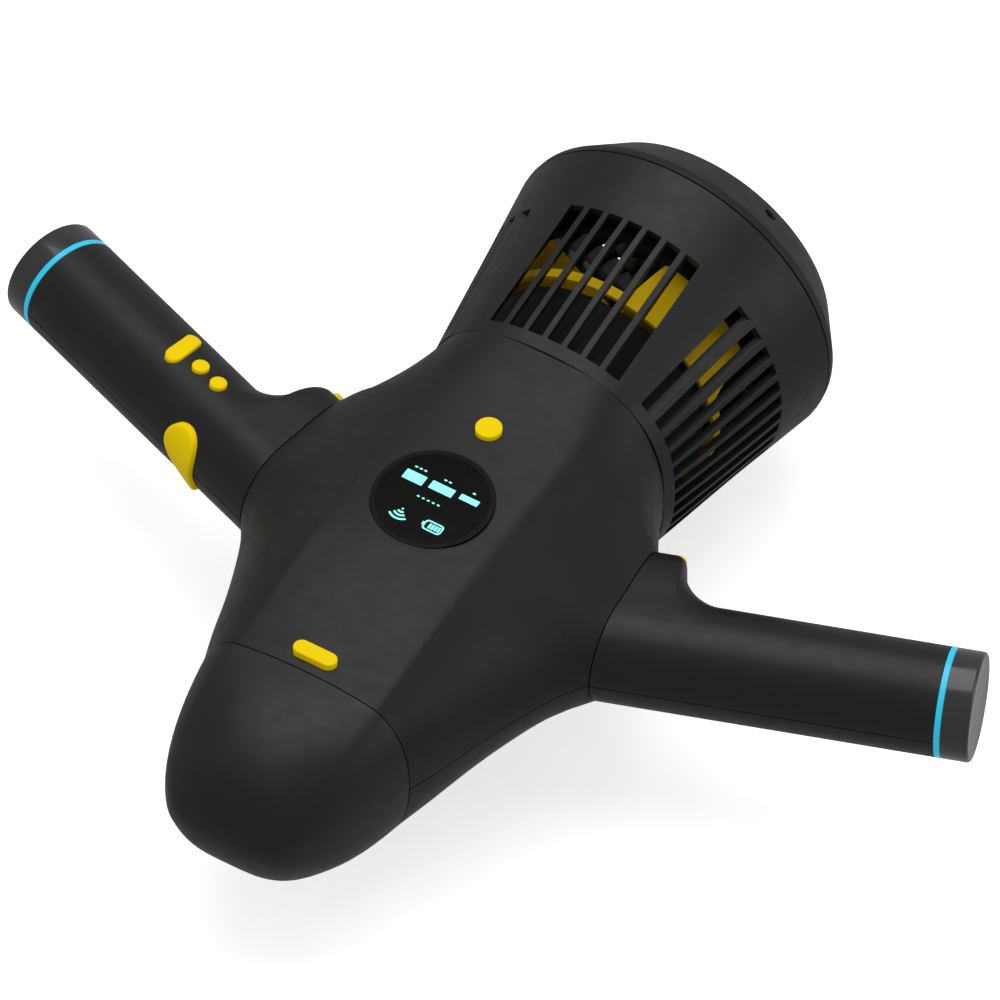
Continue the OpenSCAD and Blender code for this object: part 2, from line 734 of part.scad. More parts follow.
module arm(inset, x1) {
    along_grip(-170, x1) circle(r = grip_r - inset);
    intersection() {
        along_grip(-170, -root_s + 30) root_section(inset);
        translate([0, 0, -30]) linear_extrude(60) root_plan(inset);
    }
}
shell_end = -light_s - light_w / 2 - seam;
GRIP_SCREWS = [32, 64];
grip_seat = 14;
module at_grip_screws() {
    grip_frame() for (s = GRIP_SCREWS) translate([-s, 0, 0]) children();
}
// Half of a handle, above the parting plane when up is true: skin, screw bosses and joint plate.
module grip_half(up) {
    difference() {
        union() {
            grip_frame() difference() {
                arm(0, shell_end);
                arm(grip_wall, shell_end + 1);
            }
            intersection() {
                at_grip_screws() translate([0, 0, -30]) cylinder(r = boss_r, h = 60);
                grip_frame() arm(1, shell_end);
            }
            intersection() {
                grip_frame() arm(grip_wall - 0.5, shell_end);
                handle_frame() translate([seam, -100, -50]) cube([2.4, 200, 100]);
            }
        }
        at_grip_screws() {
            translate([0, 0, -20]) cylinder(r = screw_r + 0.1, h = 30);
            translate([0, 0, -60]) cylinder(r = head_r + 0.2, h = 60 - grip_seat);
        }
        handle_frame() translate([-200, -100, -50]) cube([200 + seam, 200, 100]);
        handle_frame() tongue_block(0.05, -5, 20);
        translate([0, -100, up ? -60 : -0.1]) cube([300, 300, 60.1]);
    }
}

module grip_screws() {
    color("silver") at_grip_screws() translate([0, 0, -grip_seat - head_h - 0.1]) {
        cylinder(r = head_r, h = head_h);
        cylinder(r = screw_r, h = 24);
    }
}
module spigot() {
    color("#9a9aa0") {
        handle_frame() tongue_block(0, -tongue_len, 8);
        handle_frame() translate([2.75, -tongue_w / 2 - 2, -tongue_h / 2 - 2])
            cube([4, tongue_w + 4, tongue_h + 4]);
    }
}
module socket() {
    color("#77777c") handle_frame() difference() {
        tongue_block(socket_wall + fit_gap, -tongue_len - 4, -0.4);
        tongue_block(fit_gap, -tongue_len - 1.5, 5);
    }
}
module light_ring() {
    color("#37c8e6") grip_frame() translate([-light_s, 0, 0]) rotate([0, 90, 0]) difference() {
        cylinder(r = grip_r, h = light_w, center = true);
        cylinder(r = 15.1, h = light_w + 2, center = true);
    }
}
cap_chamfer = 1;
module end_cap() {
    x0 = -light_s + light_w / 2 + 0.2;
    color("#48484c") grip_frame() rotate([0, 90, 0]) rotate_extrude()
        polygon([[0, -2.5], [12, -2.5], [12, -20], [15, -20], [15, x0], [grip_r, x0],
                 [grip_r, -cap_chamfer], [grip_r - cap_chamfer, 0], [0, 0]]);
}

// Release button on the rear face of the handle's root.
release_s = 123.5;
release_w = 6.2;
release_h = 17;
release_proud = 2.5;
module release_outline(gap) {
    rotate(90) pill(release_h + 2 * gap, release_w + 2 * gap);
}
module release_solid(gap, y0, y1) {
    grip_frame() translate([-release_s, y1, 0]) rotate([90, 0, 0]) linear_extrude(y1 - y0)
        release_outline(gap);
}
module release_button() {
    color("gold") release_solid(0, root_back - 5, root_back + release_proud);
}

// Thumb and finger controls of the right handle. phi turns from the top towards the front.
module on_grip(s, phi) {
    grip_frame() translate([-s, 0, 0]) rotate([phi, 0, 0]) children();
}
speed_phi = -8.5;
mode_phi = -13;
mode_len = 15;
mode_w = 6;
mode_turn = 76;
trigger_phi = 75;
trigger_head = 7.3;
trigger_proud = 2;
trigger_mid = [-0.8, 2];
trigger_tip = [-12, -13.5];
function arc(mid, r, a0, a1, steps) =
    [for (i = [0:steps]) let (a = a0 + (a1 - a0) * i / steps) mid + r * [cos(a), sin(a)]];
// A round head whose straight sides run to a blunt tip.
module trigger_outline(gap) {
    r = trigger_head + gap;
    tip_r = 1.5 + gap;
    reach = trigger_tip - trigger_mid;
    aim = atan2(reach[1], reach[0]);
    open = acos((r - tip_r) / norm(reach));
    polygon(concat(arc(trigger_mid, r, aim + open, aim + 360 - open, 24),
                   arc(trigger_tip, tip_r, aim - open, aim + open, 8)));
}
module speed_cut(s) {
    on_grip(s, speed_phi) translate([0, 0, 10]) cylinder(r = speed_r + button_gap, h = 20);
}
module mode_cut() {
    on_grip(mode_s, mode_phi) translate([0, 0, 10]) linear_extrude(20) rotate(mode_turn)
        pill(mode_len + 2 * button_gap, mode_w + 2 * button_gap);
}
module trigger_cut() {
    on_grip(trigger_s, trigger_phi) translate([0, 0, 8]) linear_extrude(24)
        trigger_outline(button_gap);
}
module right_half(up) {
    mirror([1, 0, 0]) difference() {
        grip_half(up);
        release_solid(button_gap, root_back - 9, root_back + 5);
        for (s = speed_s) speed_cut(s);
        mode_cut();
        trigger_cut();
    }
}
module left_half(up) {
    difference() {
        grip_half(up);
        release_solid(button_gap, root_back - 9, root_back + 5);
    }
}
module left_upper_shell() { color("#333335") left_half(true); }
module left_lower_shell() { color("#2d2d2f") left_half(false); }
module right_upper_shell() { color("#333335") right_half(true); }
module right_lower_shell() { color("#2d2d2f") right_half(false); }
module left_spigot() { spigot(); }
module right_spigot() { mirror([1, 0, 0]) spigot(); }
module left_socket() { socket(); }
module right_socket() { mirror([1, 0, 0]) socket(); }
module left_light_ring() { light_ring(); }
module right_light_ring() { mirror([1, 0, 0]) light_ring(); }
module left_end_cap() { end_cap(); }
module right_end_cap() { mirror([1, 0, 0]) end_cap(); }
module left_handle_screws() { grip_screws(); }
module right_handle_screws() { mirror([1, 0, 0]) grip_screws(); }
module left_release_button() { release_button(); }
module right_release_button() { mirror([1, 0, 0]) release_button(); }

module control_board() {
    color("#1f5a34") mirror([1, 0, 0]) grip_frame() translate([-112, -3, 8]) cube([42, 14, 1.6]);
}
module speed_solid(s) {
    color("gold") mirror([1, 0, 0]) on_grip(s, speed_phi) {
        translate([0, 0, grip_r - 4]) cylinder(r = speed_r, h = 5.2);
        translate([0, 0, 11.5]) cylinder(r = 1.5, h = 6);
    }
}
module speed_up_button() { speed_solid(speed_s[0]); }
module speed_down_button() { speed_solid(speed_s[1]); }
module mode_button() {
    color("gold") mirror([1, 0, 0]) on_grip(mode_s, mode_phi) {
        intersection() {
            translate([0, 0, 15]) linear_extrude(10) rotate(mode_turn) pill(mode_len, mode_w);
            rotate([0, 90, 0]) cylinder(r = grip_r + 1, h = 30, center = true);
        }
        translate([0, 0, 11.5]) cylinder(r = 1.5, h = 4);
    }
}
module trigger() {
    color("gold") mirror([1, 0, 0]) on_grip(trigger_s, trigger_phi) intersection() {
        translate([0, 0, 11]) linear_extrude(16) trigger_outline(0);
        rotate([0, 90, 0]) cylinder(r = grip_r + trigger_proud, h = 60, center = true);
    }
}

body_upper_shell();
body_lower_shell();
hull_screws();
front_bulkhead();
battery_sleeve();
hull_contacts();
display_bezel();
display_lens();
display_panel();
power_switch();
controller_board();
heat_sink();
motor_housing();
motor_core();
motor_windings();
front_bearing();
rear_bearing();
motor_bulkhead();
shaft_seal();
shaft_fairing();
duct_shroud();
duct_screws();
stator_vanes();
tail_bush();
nozzle_ring();
left_socket();
right_socket();
nose_cap();
nose_seal();
battery_can();
battery_cells();
battery_terminals();
propeller();
drive_shaft();
motor_rotor();
propeller_nut();
left_upper_shell();
left_lower_shell();
left_spigot();
left_light_ring();
left_end_cap();
left_handle_screws();
left_release_button();
right_upper_shell();
right_lower_shell();
right_spigot();
right_light_ring();
right_end_cap();
right_handle_screws();
right_release_button();
control_board();
trigger();
mode_button();
speed_up_button();
speed_down_button();
power_button();
power_spring();
latch_button();
latch_spring();
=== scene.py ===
"""Looks of the hand-held underwater scooter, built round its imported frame.

Shapes are worked out in millimetres and turned to metres as each mesh is made.
+X is the rider's left, the nose points to -Y and +Z is up.
"""
import math

import bmesh
import bpy
import numpy as np
from mathutils import Matrix, Vector
from mathutils.bvhtree import BVHTree
from mathutils.interpolate import poly_3d_calc


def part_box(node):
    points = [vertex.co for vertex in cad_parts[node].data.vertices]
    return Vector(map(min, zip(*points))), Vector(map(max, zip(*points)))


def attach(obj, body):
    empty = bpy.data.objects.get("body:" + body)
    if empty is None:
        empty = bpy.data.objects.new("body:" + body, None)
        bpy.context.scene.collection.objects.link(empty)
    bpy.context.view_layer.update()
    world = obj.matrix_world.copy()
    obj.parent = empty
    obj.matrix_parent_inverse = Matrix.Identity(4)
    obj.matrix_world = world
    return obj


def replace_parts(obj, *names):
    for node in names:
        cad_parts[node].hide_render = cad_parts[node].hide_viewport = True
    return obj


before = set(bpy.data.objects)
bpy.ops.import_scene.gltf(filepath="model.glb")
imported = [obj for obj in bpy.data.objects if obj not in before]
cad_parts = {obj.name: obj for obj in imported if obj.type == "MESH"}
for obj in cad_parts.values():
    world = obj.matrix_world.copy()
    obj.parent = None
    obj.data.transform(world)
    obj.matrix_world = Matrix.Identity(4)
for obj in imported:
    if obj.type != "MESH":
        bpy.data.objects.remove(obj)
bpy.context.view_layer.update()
MM = 0.001


def box_mm(node):
    low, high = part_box(node)
    return np.array(low) / MM, np.array(high) / MM


# ---------------------------------------------------------------- measures
HULL_LOW, HULL_HIGH = box_mm("body_upper_shell")
NOSE_Y = HULL_LOW[1]            # plane where nose and hull meet
HULL_REAR_Y = HULL_HIGH[1]      # plane where hull and duct meet
TIP_Y = box_mm("nose_cap")[0][1]
RING_LOW, RING_HIGH = box_mm("nozzle_ring")
RING_Y = RING_LOW[1]
LIP_Y = RING_HIGH[1]
RING_R = RING_HIGH[0]

SEAM = 0.25                     # half of the gap between two mouldings
WALL = 2.4                      # shell thickness

SWEEP = math.radians(19.8)      # how far each handle leans back
GRIP_R = 21.0
GRIP_LEN = 136.88               # handle origin to end face
GRIP_ORIGIN = np.array([77.0, -11.4, 0.0])
JOINT_LEAN = 0.2228             # joint plane in the handle's frame: u = JOINT_U + JOINT_LEAN * v
JOINT_U = -2.744
JOINT_X = 77.2                  # joint plane in the hull's frame: x at JOINT_Y
JOINT_Y = -34.2
JOINT_SLOPE = 0.1272
ROOT_BACK = 40.5                # depth of the handle's root behind its axis
ROOT_POWER = 3.8                # squareness of the root's rear edge
ROOT_DIP = 0.8                  # how much lower the root's flat top is than the grip
DIP_LEN = 14.0                  # how far behind the axis that dip is reached
SIDES = ((1, "left"), (-1, "right"))


# ---------------------------------------------------------------- mesh tools
def new_object(name, verts, faces, body, slot=None, material=None, angle=35.0):
    """A smooth-shaded mesh piece in metres, made from millimetres, with its material and body."""
    mesh = bpy.data.meshes.new(name)
    mesh.from_pydata([tuple(float(c) * MM for c in v) for v in verts], [], faces)
    tidy(mesh)
    mesh.shade_smooth()
    mesh.set_sharp_from_angle(angle=math.radians(angle))
    piece = bpy.data.objects.new(name, mesh)
    bpy.context.scene.collection.objects.link(piece)
    if material:
        mesh.materials.append(material)
    if body:
        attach(piece, body)
    return piece


def tidy(mesh):
    """Merges doubled points, drops empty faces and turns every face outwards."""
    work = bmesh.new()
    work.from_mesh(mesh)
    bmesh.ops.remove_doubles(work, verts=work.verts, dist=2e-6)
    bmesh.ops.dissolve_degenerate(work, edges=work.edges, dist=1e-6)
    bmesh.ops.recalc_face_normals(work, faces=work.faces)
    work.to_mesh(mesh)
    work.free()


def grid_faces(rows, cols, base=0, closed=False):
    faces = []
    for i in range(rows - 1):
        for j in range(cols if closed else cols - 1):
            k = (j + 1) % cols
            faces.append((base + i * cols + j, base + i * cols + k,
                          base + (i + 1) * cols + k, base + (i + 1) * cols + j))
    return faces


def double_skin(outer, inner, holes=None, closed=False):
    """Closed solid between two grids of points; holes[i][j] leaves a face out and walls its sides."""
    rows, cols = outer.shape[:2]
    span = cols if closed else cols - 1
    inner_base = rows * cols

    def solid(i, j):
        if closed:
            j %= cols
        inside = 0 <= i < rows - 1 and 0 <= j < span
        return inside and not (holes and holes[i][j])

    def at(i, j):
        return i * cols + j % cols

    faces = []
    for i in range(rows - 1):
        for j in range(span):
            if not solid(i, j):
                continue
            a, b, c, d = at(i, j), at(i, j + 1), at(i + 1, j + 1), at(i + 1, j)
            faces.append((a, b, c, d))
            faces.append(tuple(inner_base + p for p in (d, c, b, a)))
            for near, p, q in ((solid(i - 1, j), b, a), (solid(i + 1, j), d, c),
                               (solid(i, j - 1), a, d), (solid(i, j + 1), c, b)):
                if not near:
                    faces.append((p, q, inner_base + q, inner_base + p))
    verts = np.concatenate([outer.reshape(-1, 3), inner.reshape(-1, 3)])
    return verts, faces


def gather(parts):
    """One list of points and one of faces, from several parts of points and faces."""
    verts, faces = [], []
    for points, loops in parts:
        base = len(verts)
        verts += [tuple(p) for p in points]
        faces += [tuple(base + q for q in loop) for loop in loops]
    return verts, faces


def tunnel_faces(n):
    """Faces of a closed band through four outlines of n points: two outer and two inner ones."""
    faces = []
    for j in range(n):
        k = (j + 1) % n
        faces += [(j, k, n + k, n + j), (2 * n + j, 3 * n + j, 3 * n + k, 2 * n + k),
                  (j, 2 * n + j, 2 * n + k, k), (n + j, n + k, 3 * n + k, 3 * n + j)]
    return faces


def bevel(piece, width, angle=42.0):
    """Rounds a piece's sharp edges."""
    m = piece.modifiers.new("edge", "BEVEL")
    m.width = width * MM
    m.segments = 2
    m.limit_method = "ANGLE"
    m.angle_limit = math.radians(angle)
    m.harden_normals = True
    return piece


def thicken(piece):
    """Gives an open skin the shell's thickness, inwards."""
    m = piece.modifiers.new("wall", "SOLIDIFY")
    m.thickness = WALL * MM
    m.offset = -1.0
    return piece


def cut(piece, cutter):
    """Cuts a helper solid out of a piece; settle() removes the helper later."""
    m = piece.modifiers.new("cut", "BOOLEAN")
    m.operation = "DIFFERENCE"
    m.solver = "MANIFOLD"
    m.object = cutter
    return piece


def follow_skin(mesh, skin, near=2e-6, lean=0.85):
    """Gives the corners that still lie on the uncut skin that skin's own smooth normals."""
    points, polys, normals = skin
    tree = BVHTree.FromPolygons(points, polys)
    out = []
    own = [n.vector.copy() for n in mesh.corner_normals]
    for face in mesh.polygons:
        for loop in face.loop_indices:
            spot = mesh.vertices[mesh.loops[loop].vertex_index].co
            inward = face.center - spot
            probe = spot + inward.normalized() * min(5e-5, 0.3 * inward.length)
            where, _, index, _ = tree.find_nearest(probe)
            normal = own[loop]
            if (tree.find_nearest(spot)[0] - spot).length < near:
                weights = poly_3d_calc([points[v] for v in polys[index]], where)
                smooth = sum((n * w for n, w in zip(normals[index], weights)), Vector())
                smooth.normalize()
                if smooth.dot(face.normal) > lean:
                    normal = smooth
            out.append(normal)
    mesh.normals_split_custom_set(out)


def skin_copy(mesh):
    """Points, faces and corner normals of a mesh, kept for later."""
    corner = [n.vector.copy() for n in mesh.corner_normals]
    return ([v.co.copy() for v in mesh.vertices], [tuple(f.vertices) for f in mesh.polygons],
            [[corner[i] for i in f.loop_indices] for f in mesh.polygons])


def settle(piece, *helpers):
    """Applies a piece's modifiers, then removes the helper solids they used."""
    skin = skin_copy(piece.data)
    bpy.context.view_layer.update()
    graph = bpy.context.evaluated_depsgraph_get()
    mesh = bpy.data.meshes.new_from_object(piece.evaluated_get(graph))
    old = piece.data
    piece.modifiers.clear()
    piece.data = mesh
    mesh.name = old.name
    bpy.data.meshes.remove(old)
    for h in helpers:
        bpy.data.objects.remove(h)
    piece.data.shade_smooth()
    piece.data.set_sharp_from_angle(angle=math.radians(32))
    follow_skin(piece.data, skin)
    return piece


def prism(outline, place, low, high):
    """Helper solid with a flat outline, reaching from one height to another."""
    n = len(outline)
    verts = [place(x, y, h) for h in (low, high) for x, y in outline]
    faces = [tuple(range(n)), tuple(range(2 * n - 1, n - 1, -1))]
    faces += [(j, (j + 1) % n, n + (j + 1) % n, n + j) for j in range(n)]
    return new_object("helper", verts, faces, None)


def lathe(profile, steps=96, axis_frame=None):
    """Points and faces of a closed profile of (radius, along) turned about the local Y axis."""
    n = len(profile)
    verts = []
    for i in range(steps):
        a = 2 * math.pi * i / steps
        for r, along in profile:
            verts.append((r * math.sin(a), along, r * math.cos(a)))
    faces = []
    for i in range(steps):
        k = (i + 1) % steps
        for j in range(n):
            m = (j + 1) % n
            faces.append((i * n + j, i * n + m, k * n + m, k * n + j))
    if axis_frame is not None:
        verts = [axis_frame(*v) for v in verts]
    return verts, faces


def polar(r, degrees):
    """Point at a distance and an angle from the origin."""
    a = math.radians(degrees)
    return r * math.cos(a), r * math.sin(a)


def rounded(points, radius, steps=4):
    """Closed polygon with every corner rounded by an arc-like curve."""
    out = []
    n = len(points)
    for i in range(n):
        a, b, c = (np.array(points[(i + d) % n], float) for d in (-1, 0, 1))
        r = radius[i] if isinstance(radius, (list, tuple)) else radius
        p = b + (a - b) / np.linalg.norm(a - b) * r
        q = b + (c - b) / np.linalg.norm(c - b) * r
        for s in range(steps + 1):
            t = s / steps
            out.append(tuple((1 - t) ** 2 * p + 2 * t * (1 - t) * b + t * t * q))
    return out


# ---------------------------------------------------------------- curves
def track(table, y):
    """Smooth curve with no overshoot through (y, value) pairs."""
    ys = np.array([p[0] for p in table], float)
    vs = np.array([p[1] for p in table], float)
    d = np.diff(vs) / np.diff(ys)
    slope = np.zeros(len(ys))
    slope[0], slope[-1] = d[0], d[-1]
    for i in range(1, len(ys) - 1):
        if d[i - 1] * d[i] > 0:
            slope[i] = 2 * d[i - 1] * d[i] / (d[i - 1] + d[i])
    y = min(max(y, ys[0]), ys[-1])
    i = min(int(np.searchsorted(ys, y, side="right")) - 1, len(ys) - 2)
    i = max(i, 0)
    h = ys[i + 1] - ys[i]
    t = (y - ys[i]) / h
    return ((2 * t**3 - 3 * t**2 + 1) * vs[i] + (t**3 - 2 * t**2 + t) * h * slope[i]
            + (3 * t**2 - 2 * t**3) * vs[i + 1] + (t**3 - t**2) * h * slope[i + 1])


def bezier(points, n):
    t = np.linspace(0, 1, n)[:, None]
    p = [np.array(q, float) for q in points]
    return ((1 - t)**3 * p[0] + 3 * t * (1 - t)**2 * p[1]
            + 3 * t**2 * (1 - t) * p[2] + t**3 * p[3])


def resample(line, n, power=1.0):
    """n points along a polyline, evenly spaced, or closer together towards its end."""
    step = np.hypot(*np.diff(line, axis=0).T)
    s = np.concatenate([[0], np.cumsum(step)])
    want = (1 - (1 - np.linspace(0, 1, n)) ** power) * s[-1]
    return np.stack([np.interp(want, s, line[:, k]) for k in range(line.shape[1])], axis=1)


def smoothstep(t):
    t = np.clip(t, 0.0, 1.0)
    return t * t * (3 - 2 * t)


# ---------------------------------------------------------------- hull sections
# Each curve is a few points of (place along the hull, size).
FRONT, REAR = -110, 59
TOP = [(FRONT, 36.6), (-48, 45.6), (-20.4, 46.75), (19, 47.8), (REAR, 51.8)]
CREASE = [(FRONT, 33.3), (-48, 43.3), (26, 44.9), (REAR, 45.9)]
CREASE_X = [(FRONT, 31.4), (26, 31.6), (REAR, 31.6)]
BOTTOM = [(FRONT, 41.2), (-48, 45.5), (19, 49.0), (REAR, 52.3)]
OUTLINE = [(FRONT, 46.1), (-95.8, 51.3), (-76.7, 57.4), (-60, 63.6), (-43.6, 70.7)]
BODY_SIDE = [(FRONT, 46.1), (29, 52.4), (REAR, 52.3)]
FLANK_LEAN = [(FRONT, -0.56), (-48, -0.55), (REAR, -0.56)]
TOP_POWER = [(FRONT, 2.2), (10, 2.2), (REAR, 3.7)]
FULL_FRONT, FULL_REAR = 0.62, 0.55      # how far the side stays full below the crease
FLARE_GROWTH = 0.75             # how fast the flare would go on widening behind the joint's corner
FLARE_MAX = 104.0
FLARE_EDGE_R = 23.6             # roundness of the flare's edge at the joint
LOW_DROP = 4.6                  # bottom centre to the side's start, below
LOW_POWER = 3.53
LOW_LEAN = -0.515
SHOULDER_POWER = 1.2            # how soon the shoulder behind the joint draws in


def joint_x(y):
    return JOINT_X - JOINT_SLOPE * (y - JOINT_Y)


def handle_v(x, y):
    """Depth behind the handle's axis of a point in the hull's frame."""
    return (-(x - GRIP_ORIGIN[0]) * math.sin(SWEEP)
            + (y - GRIP_ORIGIN[1]) * math.cos(SWEEP))


def root_top(v):
    """Half height of the handle's root before its rear edge rounds off."""
    if v < 0:
        return math.sqrt(max(GRIP_R**2 - v * v, 0))
    return GRIP_R - ROOT_DIP * float(smoothstep(v / DIP_LEN))


def root_height(v):
    """Half height of the handle's root section at depth v."""
    share = min(max(v, 0) / ROOT_BACK, 1.0)
    return root_top(v) * (1 - share**ROOT_POWER) ** (1 / ROOT_POWER)


def joint_y_at(v):
    """Where along the hull the joint plane is at depth v."""
    # handle_v(joint_x(y), y) is linear in y.
    v0 = handle_v(joint_x(0.0), 0.0)
    v1 = handle_v(joint_x(1.0), 1.0)
    return (v - v0) / (v1 - v0)


JOINT_FRONT = joint_y_at(-GRIP_R)
JOINT_REAR = joint_y_at(ROOT_BACK)
OUTLINE.append((JOINT_FRONT, joint_x(JOINT_FRONT) - SEAM))
SHOULDER_LEN = HULL_REAR_Y - JOINT_REAR


def quarter(half_width, top, crease_x, crease_z, power, lean, edge):
    """Section from the centre line over the crease to the widest point, as two polylines."""
    x = np.linspace(0, crease_x, 40)
    cap = np.stack([x, top - (top - crease_z) * (x / crease_x) ** power], axis=1)
    reach = 0.5 * (half_width - crease_x)
    knee = (crease_x + reach, crease_z + lean * reach)
    side = bezier([(crease_x, crease_z), knee, (half_width, edge), (half_width, 0)], 160)
    return cap, side


def edge_for(radius, gap):
    """Handle length of the last control point that gives the edge this radius."""
    return math.sqrt(2 / 3 * radius * max(gap, 1.0))


def hull_quarter(y, above, half_width, edge):
    if above:
        return quarter(half_width, track(TOP, y), track(CREASE_X, y), track(CREASE, y),
                       track(TOP_POWER, y), track(FLANK_LEAN, y), edge)
    bottom = track(BOTTOM, y)
    return quarter(half_width, bottom, track(CREASE_X, y), bottom - LOW_DROP, LOW_POWER,
                   LOW_LEAN, edge)


def body_section(y, above):
    """Section of the hull with no shoulder."""
    crease_z = track(CREASE, y) if above else track(BOTTOM, y) - LOW_DROP
    fullness = FULL_FRONT + (FULL_REAR - FULL_FRONT) * (y - FRONT) / (REAR - FRONT)
    return hull_quarter(y, above, track(BODY_SIDE, y), fullness * crease_z)


def flared_section(y, above):
    """Section of the hull in front of the joint and at it."""
    ahead = y < JOINT_FRONT
    if ahead:
        width = track(OUTLINE, y)
    else:
        width = min(joint_x(JOINT_FRONT) - SEAM + FLARE_GROWTH * (y - JOINT_FRONT), FLARE_MAX)
    crease_x = track(CREASE_X, y)
    gap = 0.5 * (width - crease_x)
    crease_z = track(CREASE, y) if above else track(BOTTOM, y) - LOW_DROP
    near_joint = float(smoothstep((y - FRONT) / (JOINT_FRONT - FRONT)))
    edge = (1 - near_joint) * FULL_FRONT * crease_z + near_joint * edge_for(FLARE_EDGE_R, gap)
    cap, side = hull_quarter(y, above, width, edge)
    if ahead:
        return cap, side
    limit = joint_x(y) - SEAM
    depth = handle_v(joint_x(y), y)
    keep = side[side[:, 0] < limit]
    z_at_limit = np.interp(limit, side[:, 0], side[:, 1])
    keep = np.vstack([keep, [[limit, z_at_limit]]])
    share = (keep[:, 0] - crease_x) / (limit - crease_x)
    # The shoulder rises to the root's flat top, then rounds down with the root's rear edge.
    keep[:, 1] += (root_top(depth) - z_at_limit) * share**2
    keep[:, 1] += (root_height(depth) - root_top(depth)) * (1 - np.sqrt(1 - share**5))
    return cap, keep


CAP_COLS = 13
FLANK_COLS = 18
EDGE_COLS = 14
KNEE_SHARE = 0.93               # how far out the flank's even spacing goes
BLEND_STEPS = 120


def spread_side(side):
    """Points of a side curve, evenly spaced across its flank and then round its edge."""
    crease_x = side[0, 0]
    knee_x = crease_x + KNEE_SHARE * (side[:, 0].max() - crease_x)
    x = np.linspace(crease_x, knee_x, FLANK_COLS)
    flank = np.stack([x, np.interp(x, side[:, 0], side[:, 1])], axis=1)
    edge = np.vstack([flank[-1:], side[side[:, 0] > knee_x]])
    return np.vstack([flank, resample(edge, EDGE_COLS + 1)[1:]])


def parting_z(y):
    """Height of the line where the upper and lower shells meet."""
    return track([(FRONT, -3.0), (JOINT_FRONT, 0.5), (0, 0), (REAR, 0)], y)


def trim(side, level):
    """Cuts a side curve where it comes down to a level, or runs it on down to a level below 0."""
    if level <= 0:
        if side[-1, 1] > 1e-6:
            return side
        sag = level * level / 60
        return np.vstack([side, [[side[-1, 0] - sag, level]]])
    if side[-1, 1] >= level:
        return side
    keep = side[side[:, 1] > level]
    x = np.interp(-level, -side[:, 1], side[:, 0])
    return np.vstack([keep, [[x, level]]])


def hull_row(y, above):
    """One half of a hull section, centre to edge, as (x, z) points."""
    sign = 1.0 if above else -1.0
    if y <= JOINT_REAR:
        cap, side = flared_section(y, above)
        if y > JOINT_REAR - 0.01:
            side = np.vstack([side, [[side[-1, 0], 0.0]]])
    else:
        ease = 1 - (1 - min((y - JOINT_REAR) / SHOULDER_LEN, 1.0)) ** SHOULDER_POWER
        cap, body = body_section(y, above)
        _, shoulder = flared_section(JOINT_REAR - 0.01, above)
        shoulder = np.vstack([shoulder, [[shoulder[-1, 0], 0.0]]])
        # Both curves are cut at the same height, so that their points pair up.
        body = resample(body, BLEND_STEPS)
        shoulder = resample(shoulder, BLEND_STEPS)
        shoulder = shoulder + (body[0] - shoulder[0]) * np.linspace(1, 0, len(shoulder))[:, None]
        side = (1 - ease) * shoulder + ease * body
    level = sign * parting_z(y) + SEAM
    side = trim(side, level)
    cap = resample(cap, CAP_COLS)
    side = spread_side(side)
    row = np.vstack([cap, side[1:]])
    return row[:, 0], sign * row[:, 1]


def hull_stations():
    """Places along the hull of its sections, closer together where its shape turns."""
    front = list(np.linspace(NOSE_Y + SEAM, JOINT_FRONT - 3, 24))
    front += [JOINT_FRONT - d for d in (1.8, 0.9, 0.35)]
    turn = [JOINT_FRONT + 18 * (1 - math.cos(math.radians(a))) for a in range(0, 80, 8)]
    rear_start = joint_y_at(23)
    middle = list(np.linspace(turn[-1] + 2.5, rear_start, 12))
    rear = [joint_y_at(ROOT_BACK * math.sin(math.radians(a)) ** (2 / ROOT_POWER))
            for a in (24, 32, 40, 48, 56, 63, 69, 74, 78.5)]
    behind = [JOINT_REAR + (SHOULDER_LEN - 0.05) * t**1.3 for t in np.linspace(0.06, 1, 18)]
    return front + turn + middle + rear + [JOINT_REAR - 0.005] + behind


def hull_skin(name, above, *look):
    """Open skin of the hull's upper or lower half."""
    grid = []
    for y in hull_stations():
        x, z = hull_row(y, above)
        half = np.stack([x, np.full(len(x), y), z], axis=1)
        other = half[:0:-1] * [-1, 1, 1]
        grid.append(np.vstack([other, half]))
    grid = np.array(grid)
    rows, cols = grid.shape[:2]
    return outward(new_object(name, grid.reshape(-1, 3), grid_faces(rows, cols), *look))


def outward(piece):
    """Makes an open skin's faces look away from the middle of the object."""
    mesh = piece.data
    score = sum(f.normal.dot(Vector((f.center.x, 0, f.center.z))) * f.area for f in mesh.polygons)
    if score < 0:
        mesh.flip_normals()
    return piece


# ---------------------------------------------------------------- nose
# Exponents that shape the nose's outline from above and from the side.
NOSE_TOP_IN, NOSE_TOP_OUT = 2.48, 1.885
NOSE_SIDE_OUT = 3.96
NOSE_POWERS = (2.65, 3.1)       # squareness of its section at the joint, above and below
TIP_POWER = 2.2
CREASE_LIFT = 0.078             # how far the crease stands out of the section
CREASE_MERGE = 1.2              # how softly the crease turns in as the nose narrows
CREASE_LIMIT = 0.9              # the crease's greatest share of the half width


def ellipse_z(x, w, h, n):
    return h * max(1 - (x / w) ** n, 0) ** (1 / n)


